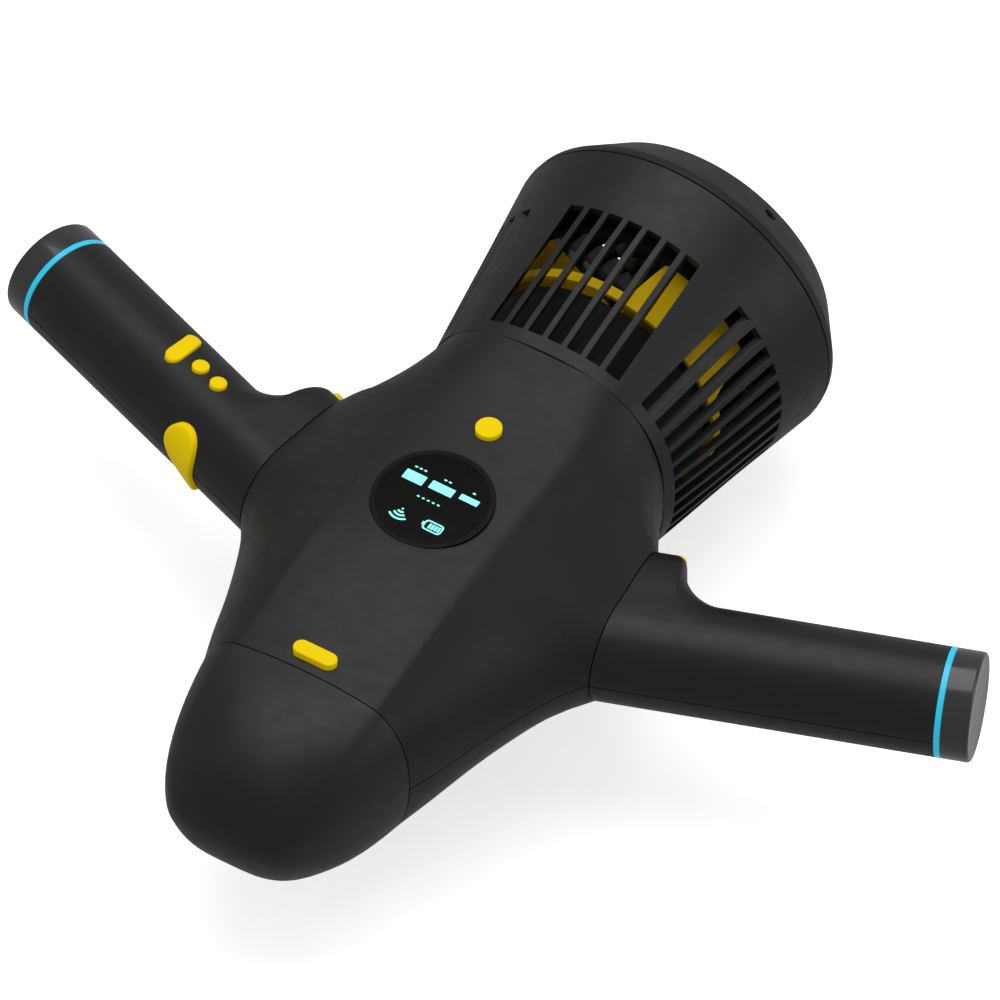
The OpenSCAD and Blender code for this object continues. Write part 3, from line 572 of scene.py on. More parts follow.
def nose_section(t, above):
    """Section of the nose at a share t of its length, as two polylines."""
    narrow = max(1 - t, 0) ** (1 / NOSE_SIDE_OUT)
    low = max(1 - t**NOSE_TOP_IN, 0) ** (1 / NOSE_TOP_OUT)
    w = OUTLINE[0][1] * narrow
    top = track(TOP if above else BOTTOM, NOSE_Y) * low
    n = NOSE_POWERS[0 if above else 1] * (1 - t) + TIP_POWER * t
    widest = CREASE_LIMIT * w
    near, far = (math.exp(-x / CREASE_MERGE) for x in (widest, CREASE_X[0][1]))
    crease_x = min(-math.log(far + near) * CREASE_MERGE, widest)
    lift = (CREASE_LIFT if above else 0.0) * (1 - t**2)
    z = ellipse_z(crease_x, w, top, n) * (1 + lift)
    if not above and t == 0:
        z = top - LOW_DROP
    base = min(z / top, 0.999)
    lean = -((crease_x / w) ** (n - 1) / w) / (base ** (n - 1) / top)
    power = -lean * crease_x / max(top - z, 1e-6)
    if above:
        power = TOP_POWER[0][1] * (1 - t**3) + power * t**3
    return quarter(w, top, crease_x, z, max(power, 1.6), lean, FULL_FRONT * z)


def nose_row(t, above):
    sign = 1.0 if above else -1.0
    cap, side = nose_section(t, above)
    row = np.vstack([resample(cap, CAP_COLS), resample(side, 18, 1.2)[1:]])
    return row[:, 0], sign * row[:, 1]


def nose_skin(name, *look):
    """Open skin of the nose, closed at its tip."""
    steps = list(np.linspace(0, 0.55, 15))
    steps += [1 - c**4 for c in np.linspace(0.45**0.25, 0.03, 20)[1:]]
    grid = []
    for t in steps:
        y = (NOSE_Y - SEAM) + (TIP_Y - NOSE_Y + SEAM) * t
        upper, lower = ([(a, y, b) for a, b in zip(*nose_row(t, above))] for above in (True, False))
        left = upper + lower[-2::-1]
        grid.append(left + [(-a, y, b) for a, _, b in lower[1:] + upper[-2:0:-1]])
    grid = np.array(grid)
    rows, cols = grid.shape[:2]
    verts = np.vstack([grid.reshape(-1, 3), [[0, TIP_Y, 0]]])
    faces = grid_faces(rows, cols, closed=True)
    last = (rows - 1) * cols
    faces += [(last + j, last + (j + 1) % cols, rows * cols) for j in range(cols)]
    return outward(new_object(name, verts, faces, *look, angle=60))


# ---------------------------------------------------------------- handles
def grip_point(side, u, v, w):
    """Handle frame to the hull's frame; side is 1 for the rider's left and -1 for the right."""
    c, s = math.cos(SWEEP), math.sin(SWEEP)
    x = GRIP_ORIGIN[0] + u * c - v * s
    y = GRIP_ORIGIN[1] + u * s + v * c
    return (side * x, y, w)


ROOT_SIDE = 17.9                # outboard side of the root, along the grip
FILLET_R = 16.0
CORNER_R = 4.5
RING_U = GRIP_LEN - 12.0
RING_WIDE = 2.2
TONGUE_V = 10.0                 # depth of the tongue's middle behind the handle's axis
WALL_INSET = 0.5                # how far the inner walls stay inside the joint's outline
CAP_RIM = 1.2
NOTCH_ANGLE = math.radians(-38)


def root_outline():
    """(u, rear depth) pairs of the root's plan, from its rear corner to where the grip is round."""
    out = []
    corner = ROOT_SIDE - CORNER_R
    for a in np.linspace(0, 90, 8):
        r = math.radians(a)
        out.append((corner + CORNER_R * math.sin(r), ROOT_BACK - CORNER_R * (1 - math.cos(r))))
    for a in np.linspace(0, 90, 20)[1:]:
        r = math.radians(a)
        out.append((ROOT_SIDE + FILLET_R * (1 - math.cos(r)), GRIP_R + FILLET_R * (1 - math.sin(r))))
    return out


def grip_section(depth, above_cols):
    """Upper half of a handle section: points (v, w) from the front to the rear parting line."""
    share = float(np.clip((depth - GRIP_R) / (ROOT_BACK - GRIP_R), 0, 1))
    power = 2.0 + (ROOT_POWER - 2.0) * share**0.8
    dip = ROOT_DIP * share
    front_cols, rear_cols = above_cols
    out = []
    start = math.asin(SEAM / GRIP_R)
    for a in np.linspace(start, math.pi / 2, front_cols):
        out.append((-GRIP_R * math.cos(a), GRIP_R * math.sin(a)))
    for a in np.linspace(0, math.pi / 2, rear_cols)[1:]:
        v = depth * math.sin(a) ** (2 / power)
        w = (GRIP_R - dip * float(smoothstep(v / DIP_LEN))) * math.cos(a) ** (2 / power)
        out.append((v, max(w, SEAM)))
    return out


def grip_skin(name, side, above, *look):
    """Open skin of a handle's upper or lower half, from the joint to the light ring."""
    cols = (16, 26)
    sign = 1.0 if above else -1.0
    rows = []
    corner = ROOT_SIDE - CORNER_R
    root = grip_section(ROOT_BACK, cols)
    for t in np.linspace(0, 1, 9)[:-1]:
        row = []
        for v, w in root:
            face = JOINT_U + JOINT_LEAN * v + SEAM
            row.append(grip_point(side, face * (1 - t) + corner * t, v, sign * w))
        rows.append(row)
    plan = root_outline()
    grip_end = RING_U - RING_WIDE / 2 - SEAM
    plan += [(u, GRIP_R) for u in np.linspace(ROOT_SIDE + FILLET_R, grip_end, 14)[1:]]
    for u, depth in plan:
        rows.append([grip_point(side, u, v, sign * w) for v, w in grip_section(depth, cols)])
    grid = np.array(rows)
    piece = new_object(name, grid.reshape(-1, 3), grid_faces(*grid.shape[:2]), *look)
    mesh = piece.data
    middle = Vector(grip_point(side, 60, 5, 0)) * MM
    along = (Vector(grip_point(side, 100, 5, 0)) * MM - middle).normalized()
    score = 0.0
    for f in mesh.polygons:
        offset = f.center - middle
        offset -= along * offset.dot(along)
        score += f.normal.dot(offset) * f.area
    if score < 0:
        mesh.flip_normals()
    return piece


def plate(name, side, u0, u1, window, *look):
    """Flat wall across the joint with a slot for the tongue, between two planes beside it."""
    outline = grip_section(ROOT_BACK, (12, 18))
    outline += [(v, -w) for v, w in outline[::-1]]
    shrunk = []
    ring = []
    for v, w in outline:
        reach = math.hypot(v - TONGUE_V, w)
        k = max(reach - WALL_INSET, 0) / reach
        shrunk.append((TONGUE_V + (v - TONGUE_V) * k, w * k))
        dv, dw = shrunk[-1][0] - TONGUE_V, shrunk[-1][1]
        k = min(window[0] / max(abs(dv), 1e-6), window[1] / max(abs(dw), 1e-6), 1.0)
        ring.append((TONGUE_V + dv * k, dw * k))
    verts = []
    for u in (u0, u1):
        for line in (shrunk, ring):
            verts += [grip_point(side, JOINT_U + JOINT_LEAN * v + u, v, w) for v, w in line]
    return new_object(name, verts, tunnel_faces(len(shrunk)), *look)


def end_cap(name, side, *look):
    """Closed end of a handle, with a rounded rim, a shallow dish and a small notch at its edge."""
    inner = RING_U + RING_WIDE / 2 + SEAM
    profile = [(12.0, GRIP_LEN - 2.6), (12.0, inner - 2), (15.0, inner - 2), (15.0, inner),
               (GRIP_R, inner)]
    for angle in np.linspace(0, 90, 6):
        out, along = polar(CAP_RIM, angle)
        profile.append((GRIP_R - CAP_RIM + out, GRIP_LEN - CAP_RIM + along))
    profile += [(GRIP_R - 2.4, GRIP_LEN - 0.12), (8, GRIP_LEN - 0.3), (0.01, GRIP_LEN - 0.35),
                (0.01, GRIP_LEN - 2.6)]
    verts, faces = lathe(profile, 96, lambda a, along, b: grip_point(side, along, a, b))
    cap = new_object(name, verts, faces, *look)
    notch = [(-1.1, -2), (1.1, -2), (1.1, 0.9), (0.7, 1.3), (-0.7, 1.3), (-1.1, 0.9)]

    def place(x, y, h):
        radius = GRIP_R + 0.4 - y
        v = radius * math.cos(NOTCH_ANGLE) - x * math.sin(NOTCH_ANGLE)
        w = radius * math.sin(NOTCH_ANGLE) + x * math.cos(NOTCH_ANGLE)
        return grip_point(side, h, v, w)

    helper = prism(notch, place, GRIP_LEN - 2.2, GRIP_LEN + 2)
    cut(cap, helper)
    return settle(cap, helper)


# ---------------------------------------------------------------- duct and nozzle
DUCT_FRONT = 59.0
DUCT_R = 54.14
DUCT_SLOPE = 0.1732
DUCT_WALL = 3.0
SLOT_Y0, SLOT_Y1 = 65.0, 122.5
TOP_SLOTS, TOP_PITCH, TOP_SLOT_W = 7, 8.5, 6.0
SIDE_SLOTS, SIDE_PITCH, SIDE_SLOT_W, SIDE_FAN = 12, 7.5, 5.2, 0.05
CORNER_COLS = 5


def duct_section(y, inset):
    """Half size and squareness of the duct's section; its front is slightly square."""
    r = DUCT_R + DUCT_SLOPE * (y - DUCT_FRONT)
    square = max(1 - (y - DUCT_FRONT) / 60, 0) ** 2
    return r * (1 - 0.034 * square) - inset, 2 + 0.5 * square


def across_duct(size, power, value):
    return size * max(1 - abs(value / size) ** power, 0) ** (1 / power)


def slot_edges(count, pitch, width):
    mid = (count - 1) / 2
    return [(i - mid) * pitch + side * width / 2 for i in range(count) for side in (-1, 1)]


def duct_ring(y, inset):
    """Points round the duct at y, from the top group over the rider's left side and back."""
    size, power = duct_section(y, inset)
    top = slot_edges(TOP_SLOTS, TOP_PITCH, TOP_SLOT_W)
    spread = 1 + SIDE_FAN * float(np.clip(2 * (y - SLOT_Y0) / (SLOT_Y1 - SLOT_Y0) - 1, -1, 1))
    mids = [(i - (SIDE_SLOTS - 1) / 2) * SIDE_PITCH * spread for i in range(SIDE_SLOTS)]
    side = [m + s * SIDE_SLOT_W / 2 for m in mids for s in (-1, 1)][::-1]
    quarters = [
        [(x, across_duct(size, power, x)) for x in top],
        [(across_duct(size, power, z), z) for z in side],
        [(-x, -across_duct(size, power, x)) for x in top],
        [(-across_duct(size, power, z), -z) for z in side],
    ]
    ring = []
    for i, group in enumerate(quarters):
        ring += group
        a = math.atan2(group[-1][0], group[-1][1])
        b = math.atan2(*quarters[(i + 1) % 4][0])
        if b < a:
            b += 2 * math.pi
        for t in np.linspace(0, 1, CORNER_COLS + 2)[1:-1]:
            angle = a + (b - a) * t
            c, s = abs(math.cos(angle)) / size, abs(math.sin(angle)) / size
            r = (c**power + s**power) ** (-1 / power)
            ring.append((r * math.sin(angle), r * math.cos(angle)))
    return [(x, y, z) for x, z in ring]


def duct_skin(name, *look):
    """Conical shroud with its four groups of slots."""
    first, last = DUCT_FRONT + SEAM, RING_Y - SEAM
    ys = [first, SLOT_Y0 - 2.5, SLOT_Y0]
    ys += list(np.linspace(SLOT_Y0, SLOT_Y1, 13)[1:])
    ys += list(np.linspace(SLOT_Y1, last, 7)[1:])
    outer = np.array([duct_ring(y, 0) for y in ys])
    inner = np.array([duct_ring(y, DUCT_WALL) for y in ys])
    cols = outer.shape[1]
    open_cols = set()
    start = 0
    for i in range(4):
        count = TOP_SLOTS if i % 2 == 0 else SIDE_SLOTS
        open_cols |= {start + 2 * k for k in range(count)}
        start += 2 * count + CORNER_COLS
    holes = [[j in open_cols and SLOT_Y0 <= ys[i] < SLOT_Y1 for j in range(cols)]
             for i in range(len(ys) - 1)]
    verts, faces = double_skin(outer, inner, holes, closed=True)
    return bevel(new_object(name, verts, faces, *look), 0.3, 50)


def duct_front_wall(name, *look):
    """Wall across the duct's front, with a hole for the shaft."""
    y0, y1 = DUCT_FRONT + SEAM, DUCT_FRONT + 3
    size = duct_section(y0, DUCT_WALL)[0] + 0.4
    profile = rounded([(size, y0), (size, y1), (15.0, y1 + 0.6), (12.2, y1), (12.2, y0)], 0.3, 2)
    return new_object(name, *lathe(profile, 96), *look)


NOZZLE_BAND = 3.7
TETHER_BACK = 6.6
TETHER_ANGLE = math.radians(33.8)
TETHER_R = 2.6
LIP_R = 55.8


def nozzle(name, *look):
    """Short band, then a cone that narrows to the lip, with two tether holes."""
    slope = math.atan2(RING_R - 0.6 - LIP_R, LIP_Y - RING_Y - NOZZLE_BAND)
    wall = 3.2 / math.cos(slope)
    front = RING_Y + SEAM
    corners = [(RING_R - 3, front), (RING_R, front), (RING_R - 0.5, RING_Y + NOZZLE_BAND),
               (LIP_R, LIP_Y), (LIP_R - wall, LIP_Y), (RING_R - 3, RING_Y + NOZZLE_BAND - 1.4)]
    profile = rounded(corners, [0.4, 0.5, 0.7, 1.3, 1.0, 1.5], 5)
    ring = new_object(name, *lathe(profile, 144), *look)
    middle_r = LIP_R + TETHER_BACK * math.tan(slope)
    helpers = []
    for sign in (-1, 1):
        turn = sign * TETHER_ANGLE

        def place(x, y, h, turn=turn):
            # Local up is square to the nozzle's cone.
            along = y * math.cos(slope) + h * math.sin(slope)
            out = middle_r - y * math.sin(slope) + h * math.cos(slope)
            return (out * math.sin(turn) + x * math.cos(turn), LIP_Y - TETHER_BACK + along,
                    out * math.cos(turn) - x * math.sin(turn))

        helpers.append(prism(disc(TETHER_R, 32), place, -9, 9))
        cut(ring, helpers[-1])
    bevel(ring, 0.35, 60)
    return settle(ring, *helpers)


# ---------------------------------------------------------------- propeller and stator
PROP_Y = 106.0
PROP_HUB_R = 13.0
PROP_R = 50.4
PROP_PITCH = 144.0
BLADES = 3
BLADE_SWEEP = 60.0
BLADE_TURN = 42.0               # from the top to the middle of the first blade
BLADE_T = 2.4
BLADE_Y = PROP_Y + 5
RIM_T = 1.6
RIM_Y0, RIM_Y1 = PROP_Y - 8, PROP_Y - 3.6
BAND_Y1 = BLADE_Y + 12.6        # rear edge of the rim's wide parts
BAND_HALF = BLADE_SWEEP / 2 + 1.4
SHAFT_HOLE = 4.05


def blade_point(turn, f, g, side):
    r = PROP_HUB_R - 1.5 + f * (PROP_R - RIM_T / 2 - PROP_HUB_R + 1.5)
    a = g * BLADE_SWEEP + turn
    lift = side * BLADE_T / 2 * (1 - 0.4 * f) * math.sqrt(max(1 - 4 * g * g, 0.01))
    angle = math.radians(a)
    y = BLADE_Y + PROP_PITCH * g * BLADE_SWEEP / 360 + lift
    return (r * math.sin(angle), y, r * math.cos(angle))


def rim_rear(angle):
    """Rear edge of the rim: it is wide outside each blade and narrow between them."""
    step = 360 / BLADES
    off = abs((angle - BLADE_TURN + step / 2) % step - step / 2)
    wide = float(smoothstep((BAND_HALF - off) / 5))
    return RIM_Y1 + (BAND_Y1 - RIM_Y1) * wide


def propeller(name, *look):
    """Swept blades between a hub and a thin rim that is wider outside each blade."""
    parts = []
    fs = np.linspace(0, 1, 24)
    gs = -0.5 * np.cos(np.linspace(0, math.pi, 33))
    for k in range(BLADES):
        turn = BLADE_TURN + 360 * k / BLADES
        skins = [np.array([[blade_point(turn, f, g, side) for g in gs] for f in fs])
                 for side in (1, -1)]
        parts.append(double_skin(*skins))
    steps = 240
    skins = []
    for radius in (PROP_R, PROP_R - RIM_T):
        skin = []
        for t in np.linspace(0, 1, 13):
            ring = []
            for i in range(steps):
                angle = 360 * i / steps
                y = RIM_Y0 + (rim_rear(angle) - RIM_Y0) * t
                a = math.radians(angle)
                ring.append((radius * math.sin(a), y, radius * math.cos(a)))
            skin.append(ring)
        skins.append(np.array(skin))
    parts.append(double_skin(*skins, closed=True))
    y0, y1 = PROP_Y - 13, PROP_Y + 18
    hub = rounded([(SHAFT_HOLE, y0), (PROP_HUB_R - 3, y0), (PROP_HUB_R, y0 + 5), (PROP_HUB_R, y1),
                   (SHAFT_HOLE, y1)], [0.4, 2.2, 2.2, 1.0, 0.4], 4)
    parts.append(lathe(hub, 72))
    return new_object(name, *gather(parts), *look)


VANES = 11
VANE_Y0, VANE_Y1 = 131.0, 146.0
STATOR_HUB_R = 14.0
STATOR_RIM_R = 63.1
LINER_R, LINER_Y0, LINER_Y1 = 50.5, 125.0, 158.0
GUARD_RINGS = (21, 28, 35, 42)
GUARD_T, GUARD_Y0 = 2.4, 137.5


def stator(name, *look):
    """Domed hub, curved vanes and finger guards inside the tube that the jet leaves through."""
    dome = [(STATOR_HUB_R * math.cos(t), VANE_Y1 + 7.5 * math.sin(t))
            for t in np.linspace(0, math.pi / 2 - 0.02, 10)]
    hub = [(6.0, VANE_Y0), (STATOR_HUB_R - 0.6, VANE_Y0), (STATOR_HUB_R, VANE_Y0 + 0.6)] + dome
    hub += [(0.3, VANE_Y0 + 9.7), (6.0, VANE_Y0 + 9.7)]
    rim = [(LINER_R, VANE_Y1 - 0.5), (STATOR_RIM_R - 2, VANE_Y1 - 0.5), (STATOR_RIM_R - 2, VANE_Y0 + 8),
           (STATOR_RIM_R, VANE_Y0 + 8), (STATOR_RIM_R, VANE_Y1), (STATOR_RIM_R + 1.2, VANE_Y1),
           (STATOR_RIM_R + 1.2, VANE_Y1 + 2.4), (LINER_R, VANE_Y1 + 2.4), (LINER_R, LINER_Y1),
           (LINER_R - 2, LINER_Y1), (LINER_R - 2, LINER_Y0), (LINER_R, LINER_Y0)]
    parts = [lathe(hub, 72), lathe(rounded(rim, 0.35, 2), 120)]
    for r in GUARD_RINGS:
        half = GUARD_T / 2
        band = [(r - half, GUARD_Y0), (r + half, GUARD_Y0), (r + half, VANE_Y1), (r - half, VANE_Y1)]
        parts.append(lathe(rounded(band, 0.5, 3), 96))
    rows, cols = 10, 15
    for k in range(VANES):
        turn = 2 * math.pi * k / VANES
        skins = []
        for face_side in (1, -1):
            skin = []
            for i in range(rows):
                r = STATOR_HUB_R - 0.8 + (LINER_R - STATOR_HUB_R - 0.4) * i / (rows - 1)
                line = []
                for g in 0.5 - 0.5 * np.cos(np.linspace(0, math.pi, cols)):
                    # The vane leaves the axis direction gradually towards the propeller.
                    lean = 5.5 * (1 - g) ** 2
                    thick = face_side * 1.25 * math.sqrt(max(4 * g * (1 - g), 0.03))
                    angle = turn + (lean + thick) / r
                    y = VANE_Y0 + 0.6 + (VANE_Y1 - VANE_Y0 - 1.2) * g
                    line.append((r * math.sin(angle), y, r * math.cos(angle)))
                skin.append(line)
            skins.append(np.array(skin))
        parts.append(double_skin(*skins))
    return new_object(name, *gather(parts), *look)


# ---------------------------------------------------------------- buttons
def pill(length, width, steps=14):
    """Outline of an oblong with round ends, its long way along the first axis."""
    end = [polar(width / 2, a) for a in np.linspace(-90, 90, steps)]
    return [(sign * ((length - width) / 2 + x), sign * y) for sign in (1, -1) for x, y in end]


def disc(r, steps=40):
    """Outline of a circle."""
    return [(r * math.cos(a), r * math.sin(a)) for a in np.linspace(0, 2 * math.pi, steps + 1)[:-1]]


def offset(outline, d):
    """Moves a counter-clockwise outline outwards by d."""
    n = len(outline)
    out = []
    for i in range(n):
        (x0, y0), (x1, y1), (x2, y2) = (outline[(i + k) % n] for k in (-1, 0, 1))
        dx, dy = x2 - x0, y2 - y0
        length = math.hypot(dx, dy) or 1.0
        out.append((x1 + d * dy / length, y1 - d * dx / length))
    return out


def keycap(name, outline, place, foot, top, edge, dome, *look):
    """Button with upright sides, a rounded edge and a slightly domed or dished face."""
    rings = [[(x, y, foot) for x, y in outline]]
    for a in (0, 20, 40, 60, 78, 90):
        t = math.radians(a)
        line = offset(outline, -edge * (1 - math.cos(t)))
        rings.append([(x, y, top(x, y) - edge * (1 - math.sin(t))) for x, y in line])
    face = offset(outline, -edge)
    cx = sum(p[0] for p in face) / len(face)
    cy = sum(p[1] for p in face) / len(face)
    for k in (0.85, 0.65, 0.45, 0.25):
        ring = []
        for x, y in face:
            px, py = cx + (x - cx) * k, cy + (y - cy) * k
            ring.append((px, py, top(px, py) + dome * (1 - k * k)))
        rings.append(ring)
    n = len(outline)
    verts = [place(*p) for ring in rings for p in ring] + [place(cx, cy, top(cx, cy) + dome)]
    faces = grid_faces(len(rings), n, closed=True)
    last = (len(rings) - 1) * n
    faces += [(last + j, last + (j + 1) % n, len(rings) * n) for j in range(n)]
    faces.append(tuple(range(n))[::-1])
    return new_object(name, verts, faces, *look, angle=45)


def flat(height):
    return lambda x, y: height


def grip_top(radius):
    """Height over the grip's axis of a face that follows the grip's roundness."""
    return lambda x, y: math.sqrt(max(radius**2 - y * y, 0))


# The next functions place points given across a feature and up from it.
def beside(x0, y0):
    return lambda x, y, h: (x0 + x, y0 + y, h)


def along_grip(side, s):
    return lambda x, y, h: grip_point(side, GRIP_LEN - s + x, y, h)


def on_display(x, y, h):
    t = math.radians(DISPLAY_TILT)
    return (x, DISPLAY_Y + y * math.cos(t) - h * math.sin(t),
            DISPLAY_Z + y * math.sin(t) + h * math.cos(t))


def on_right_grip(s, phi):
    """Places a point given along the grip, round it and out from its axis."""
    t = math.radians(phi)

    def place(x, y, h):
        v = y * math.cos(t) - h * math.sin(t)
        w = y * math.sin(t) + h * math.cos(t)
        return grip_point(-1, GRIP_LEN - s + x, v, w)
    return place


def behind_root(side):
    return lambda x, y, h: grip_point(side, GRIP_LEN - RELEASE_S + x, h, y)


DISPLAY_Y, DISPLAY_Z, DISPLAY_TILT = -20.4, 46.7, 1.9
BEZEL_R = 23.6
POWER_Y, POWER_Z, POWER_R = 18.9, 49.5, 5.2
LATCH_Y, LATCH_Z, LATCH_LEN, LATCH_W = -102.4, 39.8, 18.5, 6.8
RELEASE_S, RELEASE_W, RELEASE_H, RELEASE_PROUD = 123.5, 6.2, 17.0, 2.5
SPEED_S, SPEED_PHI, SPEED_R, SPEED_TOP = (89.2, 100.0), -8.5, 3.4, 22.2
MODE_S, MODE_PHI, MODE_TURN, MODE_TOP = 76.5, -13.0, 76.0, 22.0
TRIGGER_S, TRIGGER_PHI, TRIGGER_TOP = 104.5, 75.0, 23.0
TRIGGER_HEAD, TRIGGER_MID, TRIGGER_TIP = 8.2, (-1.6, 2.5), (-9.8, -13.4)
GAP = 0.35


def kidney():
    """Mode button: an oblong bent round the thumb, wider in front."""
    half, bow, front_w, rear_w = 5.8, -0.5, 3.6, 3.2
    spine = []
    for t in np.linspace(-1, 1, 13):
        w = front_w + (rear_w - front_w) * (t + 1) / 2
        spine.append((half * t, -bow * (1 - t * t) + 0.4, w))
    right = [(x, y - w) for x, y, w in spine]
    left = [(x, y + w) for x, y, w in spine][::-1]
    x, y, w = spine[-1]
    rear = [(x + w * math.sin(a), y - w * math.cos(a)) for a in np.linspace(0, math.pi, 12)[1:-1]]
    x, y, w = spine[0]
    front = [(x - w * math.sin(a), y + w * math.cos(a)) for a in np.linspace(0, math.pi, 12)[1:-1]]
    line = right + rear + left + front
    c, s = math.cos(math.radians(MODE_TURN)), math.sin(math.radians(MODE_TURN))
    return [(x * c - y * s, x * s + y * c) for x, y in line]


def teardrop():
    """Trigger: a round head that draws in to a blunt tip, with slightly hollow sides."""
    dx, dy = TRIGGER_TIP[0] - TRIGGER_MID[0], TRIGGER_TIP[1] - TRIGGER_MID[1]
    reach = math.hypot(dx, dy)
    ux, uy = dx / reach, dy / reach
    tip_r = 1.4
    line = []
    line += [polar(TRIGGER_HEAD, a) for a in np.linspace(180, 95, 12)]
    start, head = line[-1]
    for t in np.linspace(0, 1, 17)[1:]:
        p = start + (reach - start) * t
        wide = 0.5 + 0.5 * math.cos(math.pi * t**1.15)
        line.append((p, tip_r + (head - tip_r) * wide))
    for a in np.linspace(75, 0, 5):
        x, y = polar(tip_r, a)
        line.append((reach + x, y))
    other = [(p, -q) for p, q in line[1:-1]][::-1]
    whole = (line + other)[::-1]
    return [(TRIGGER_MID[0] + p * ux - q * uy, TRIGGER_MID[1] + p * uy + q * ux) for p, q in whole]


# ---------------------------------------------------------------- materials
def srgb(code):
    """Linear colour of a hex display colour."""
    out = []
    for i in (0, 2, 4):
        c = int(code[i:i + 2], 16) / 255
        out.append(c / 12.92 if c <= 0.04045 else ((c + 0.055) / 1.055) ** 2.4)
    return (*out, 1.0)


def finish(name, code, rough, metal=0.0, grain=0.012, grain_size=0.8, mottle=0.06,
           wear="3c3c3e", wear_amount=0.15, coat=0.0, glow=0.0, brushed=False, gleam=0.5):
    """Procedural finish: uneven colour and roughness, a fine moulded grain and worn edges.

    Grain depth and size are in millimetres.
    """
    m = bpy.data.materials.new(name)
    m.use_nodes = True
    tree = m.node_tree
    tree.nodes.clear()
    link = tree.links.new

    def node(kind, **values):
        """A new node with some of its inputs set; a low line in a name stands for a space."""
        made = tree.nodes.new("ShaderNode" + kind)
        for label, value in values.items():
            made.inputs[label.replace("_", " ")].default_value = value
        return made

    out = node("OutputMaterial")
    skin = node("BsdfPrincipled", Metallic=metal, Specular_IOR_Level=gleam, Coat_Weight=coat,
                Coat_Roughness=0.06)
    link(skin.outputs["BSDF"], out.inputs["Surface"])
    stretch = node("Mapping", Scale=(1, 0.06, 1) if brushed else (1, 1, 1))
    link(node("TexCoord").outputs["Object"], stretch.inputs["Vector"])

    def noise(scale, detail):
        pattern = node("TexNoise", Scale=scale, Detail=detail)
        link(stretch.outputs["Vector"], pattern.inputs["Vector"])
        return pattern.outputs["Fac"]

    def spread(value, low, high):
        ranged = node("MapRange", From_Min=0.3, From_Max=0.7, To_Min=low, To_Max=high)
        link(value, ranged.inputs["Value"])
        return ranged.outputs["Result"]

    def mix(factor, a, b):
        x = node("Mix")
        x.data_type = "RGBA"
        link(factor, x.inputs["Factor"])
        for source, socket in ((a, x.inputs[6]), (b, x.inputs[7])):
            if isinstance(source, tuple):
                socket.default_value = source
            else:
                link(source, socket)
        return x.outputs[2]

    base = srgb(code)
    dark = tuple(c * (1 - mottle) for c in base[:3]) + (1.0,)
    light = tuple(min(c * (1 + mottle), 1.0) for c in base[:3]) + (1.0,)
    colour = mix(spread(noise(45, 4), 0, 1), dark, light)
    ridge = node("ValToRGB")
    ridge.color_ramp.elements[0].position = 0.52
    ridge.color_ramp.elements[1].position = 0.60
    link(node("NewGeometry").outputs["Pointiness"], ridge.inputs["Fac"])
    worn = node("Math")
    worn.operation = "MULTIPLY"
    link(ridge.outputs["Color"], worn.inputs[0])
    link(spread(noise(260, 3), 0, wear_amount), worn.inputs[1])
    colour = mix(worn.outputs[0], colour, srgb(wear))
    link(colour, skin.inputs["Base Color"])
    link(spread(noise(150, 5), rough - 0.05, rough + 0.05), skin.inputs["Roughness"])
    if glow:
        link(colour, skin.inputs["Emission Color"])
        skin.inputs["Emission Strength"].default_value = glow
    bump = node("Bump", Strength=1.0, Distance=grain * MM)
    link(noise(1000 / grain_size, 2), bump.inputs["Height"])
    link(bump.outputs["Normal"], skin.inputs["Normal"])
    return m


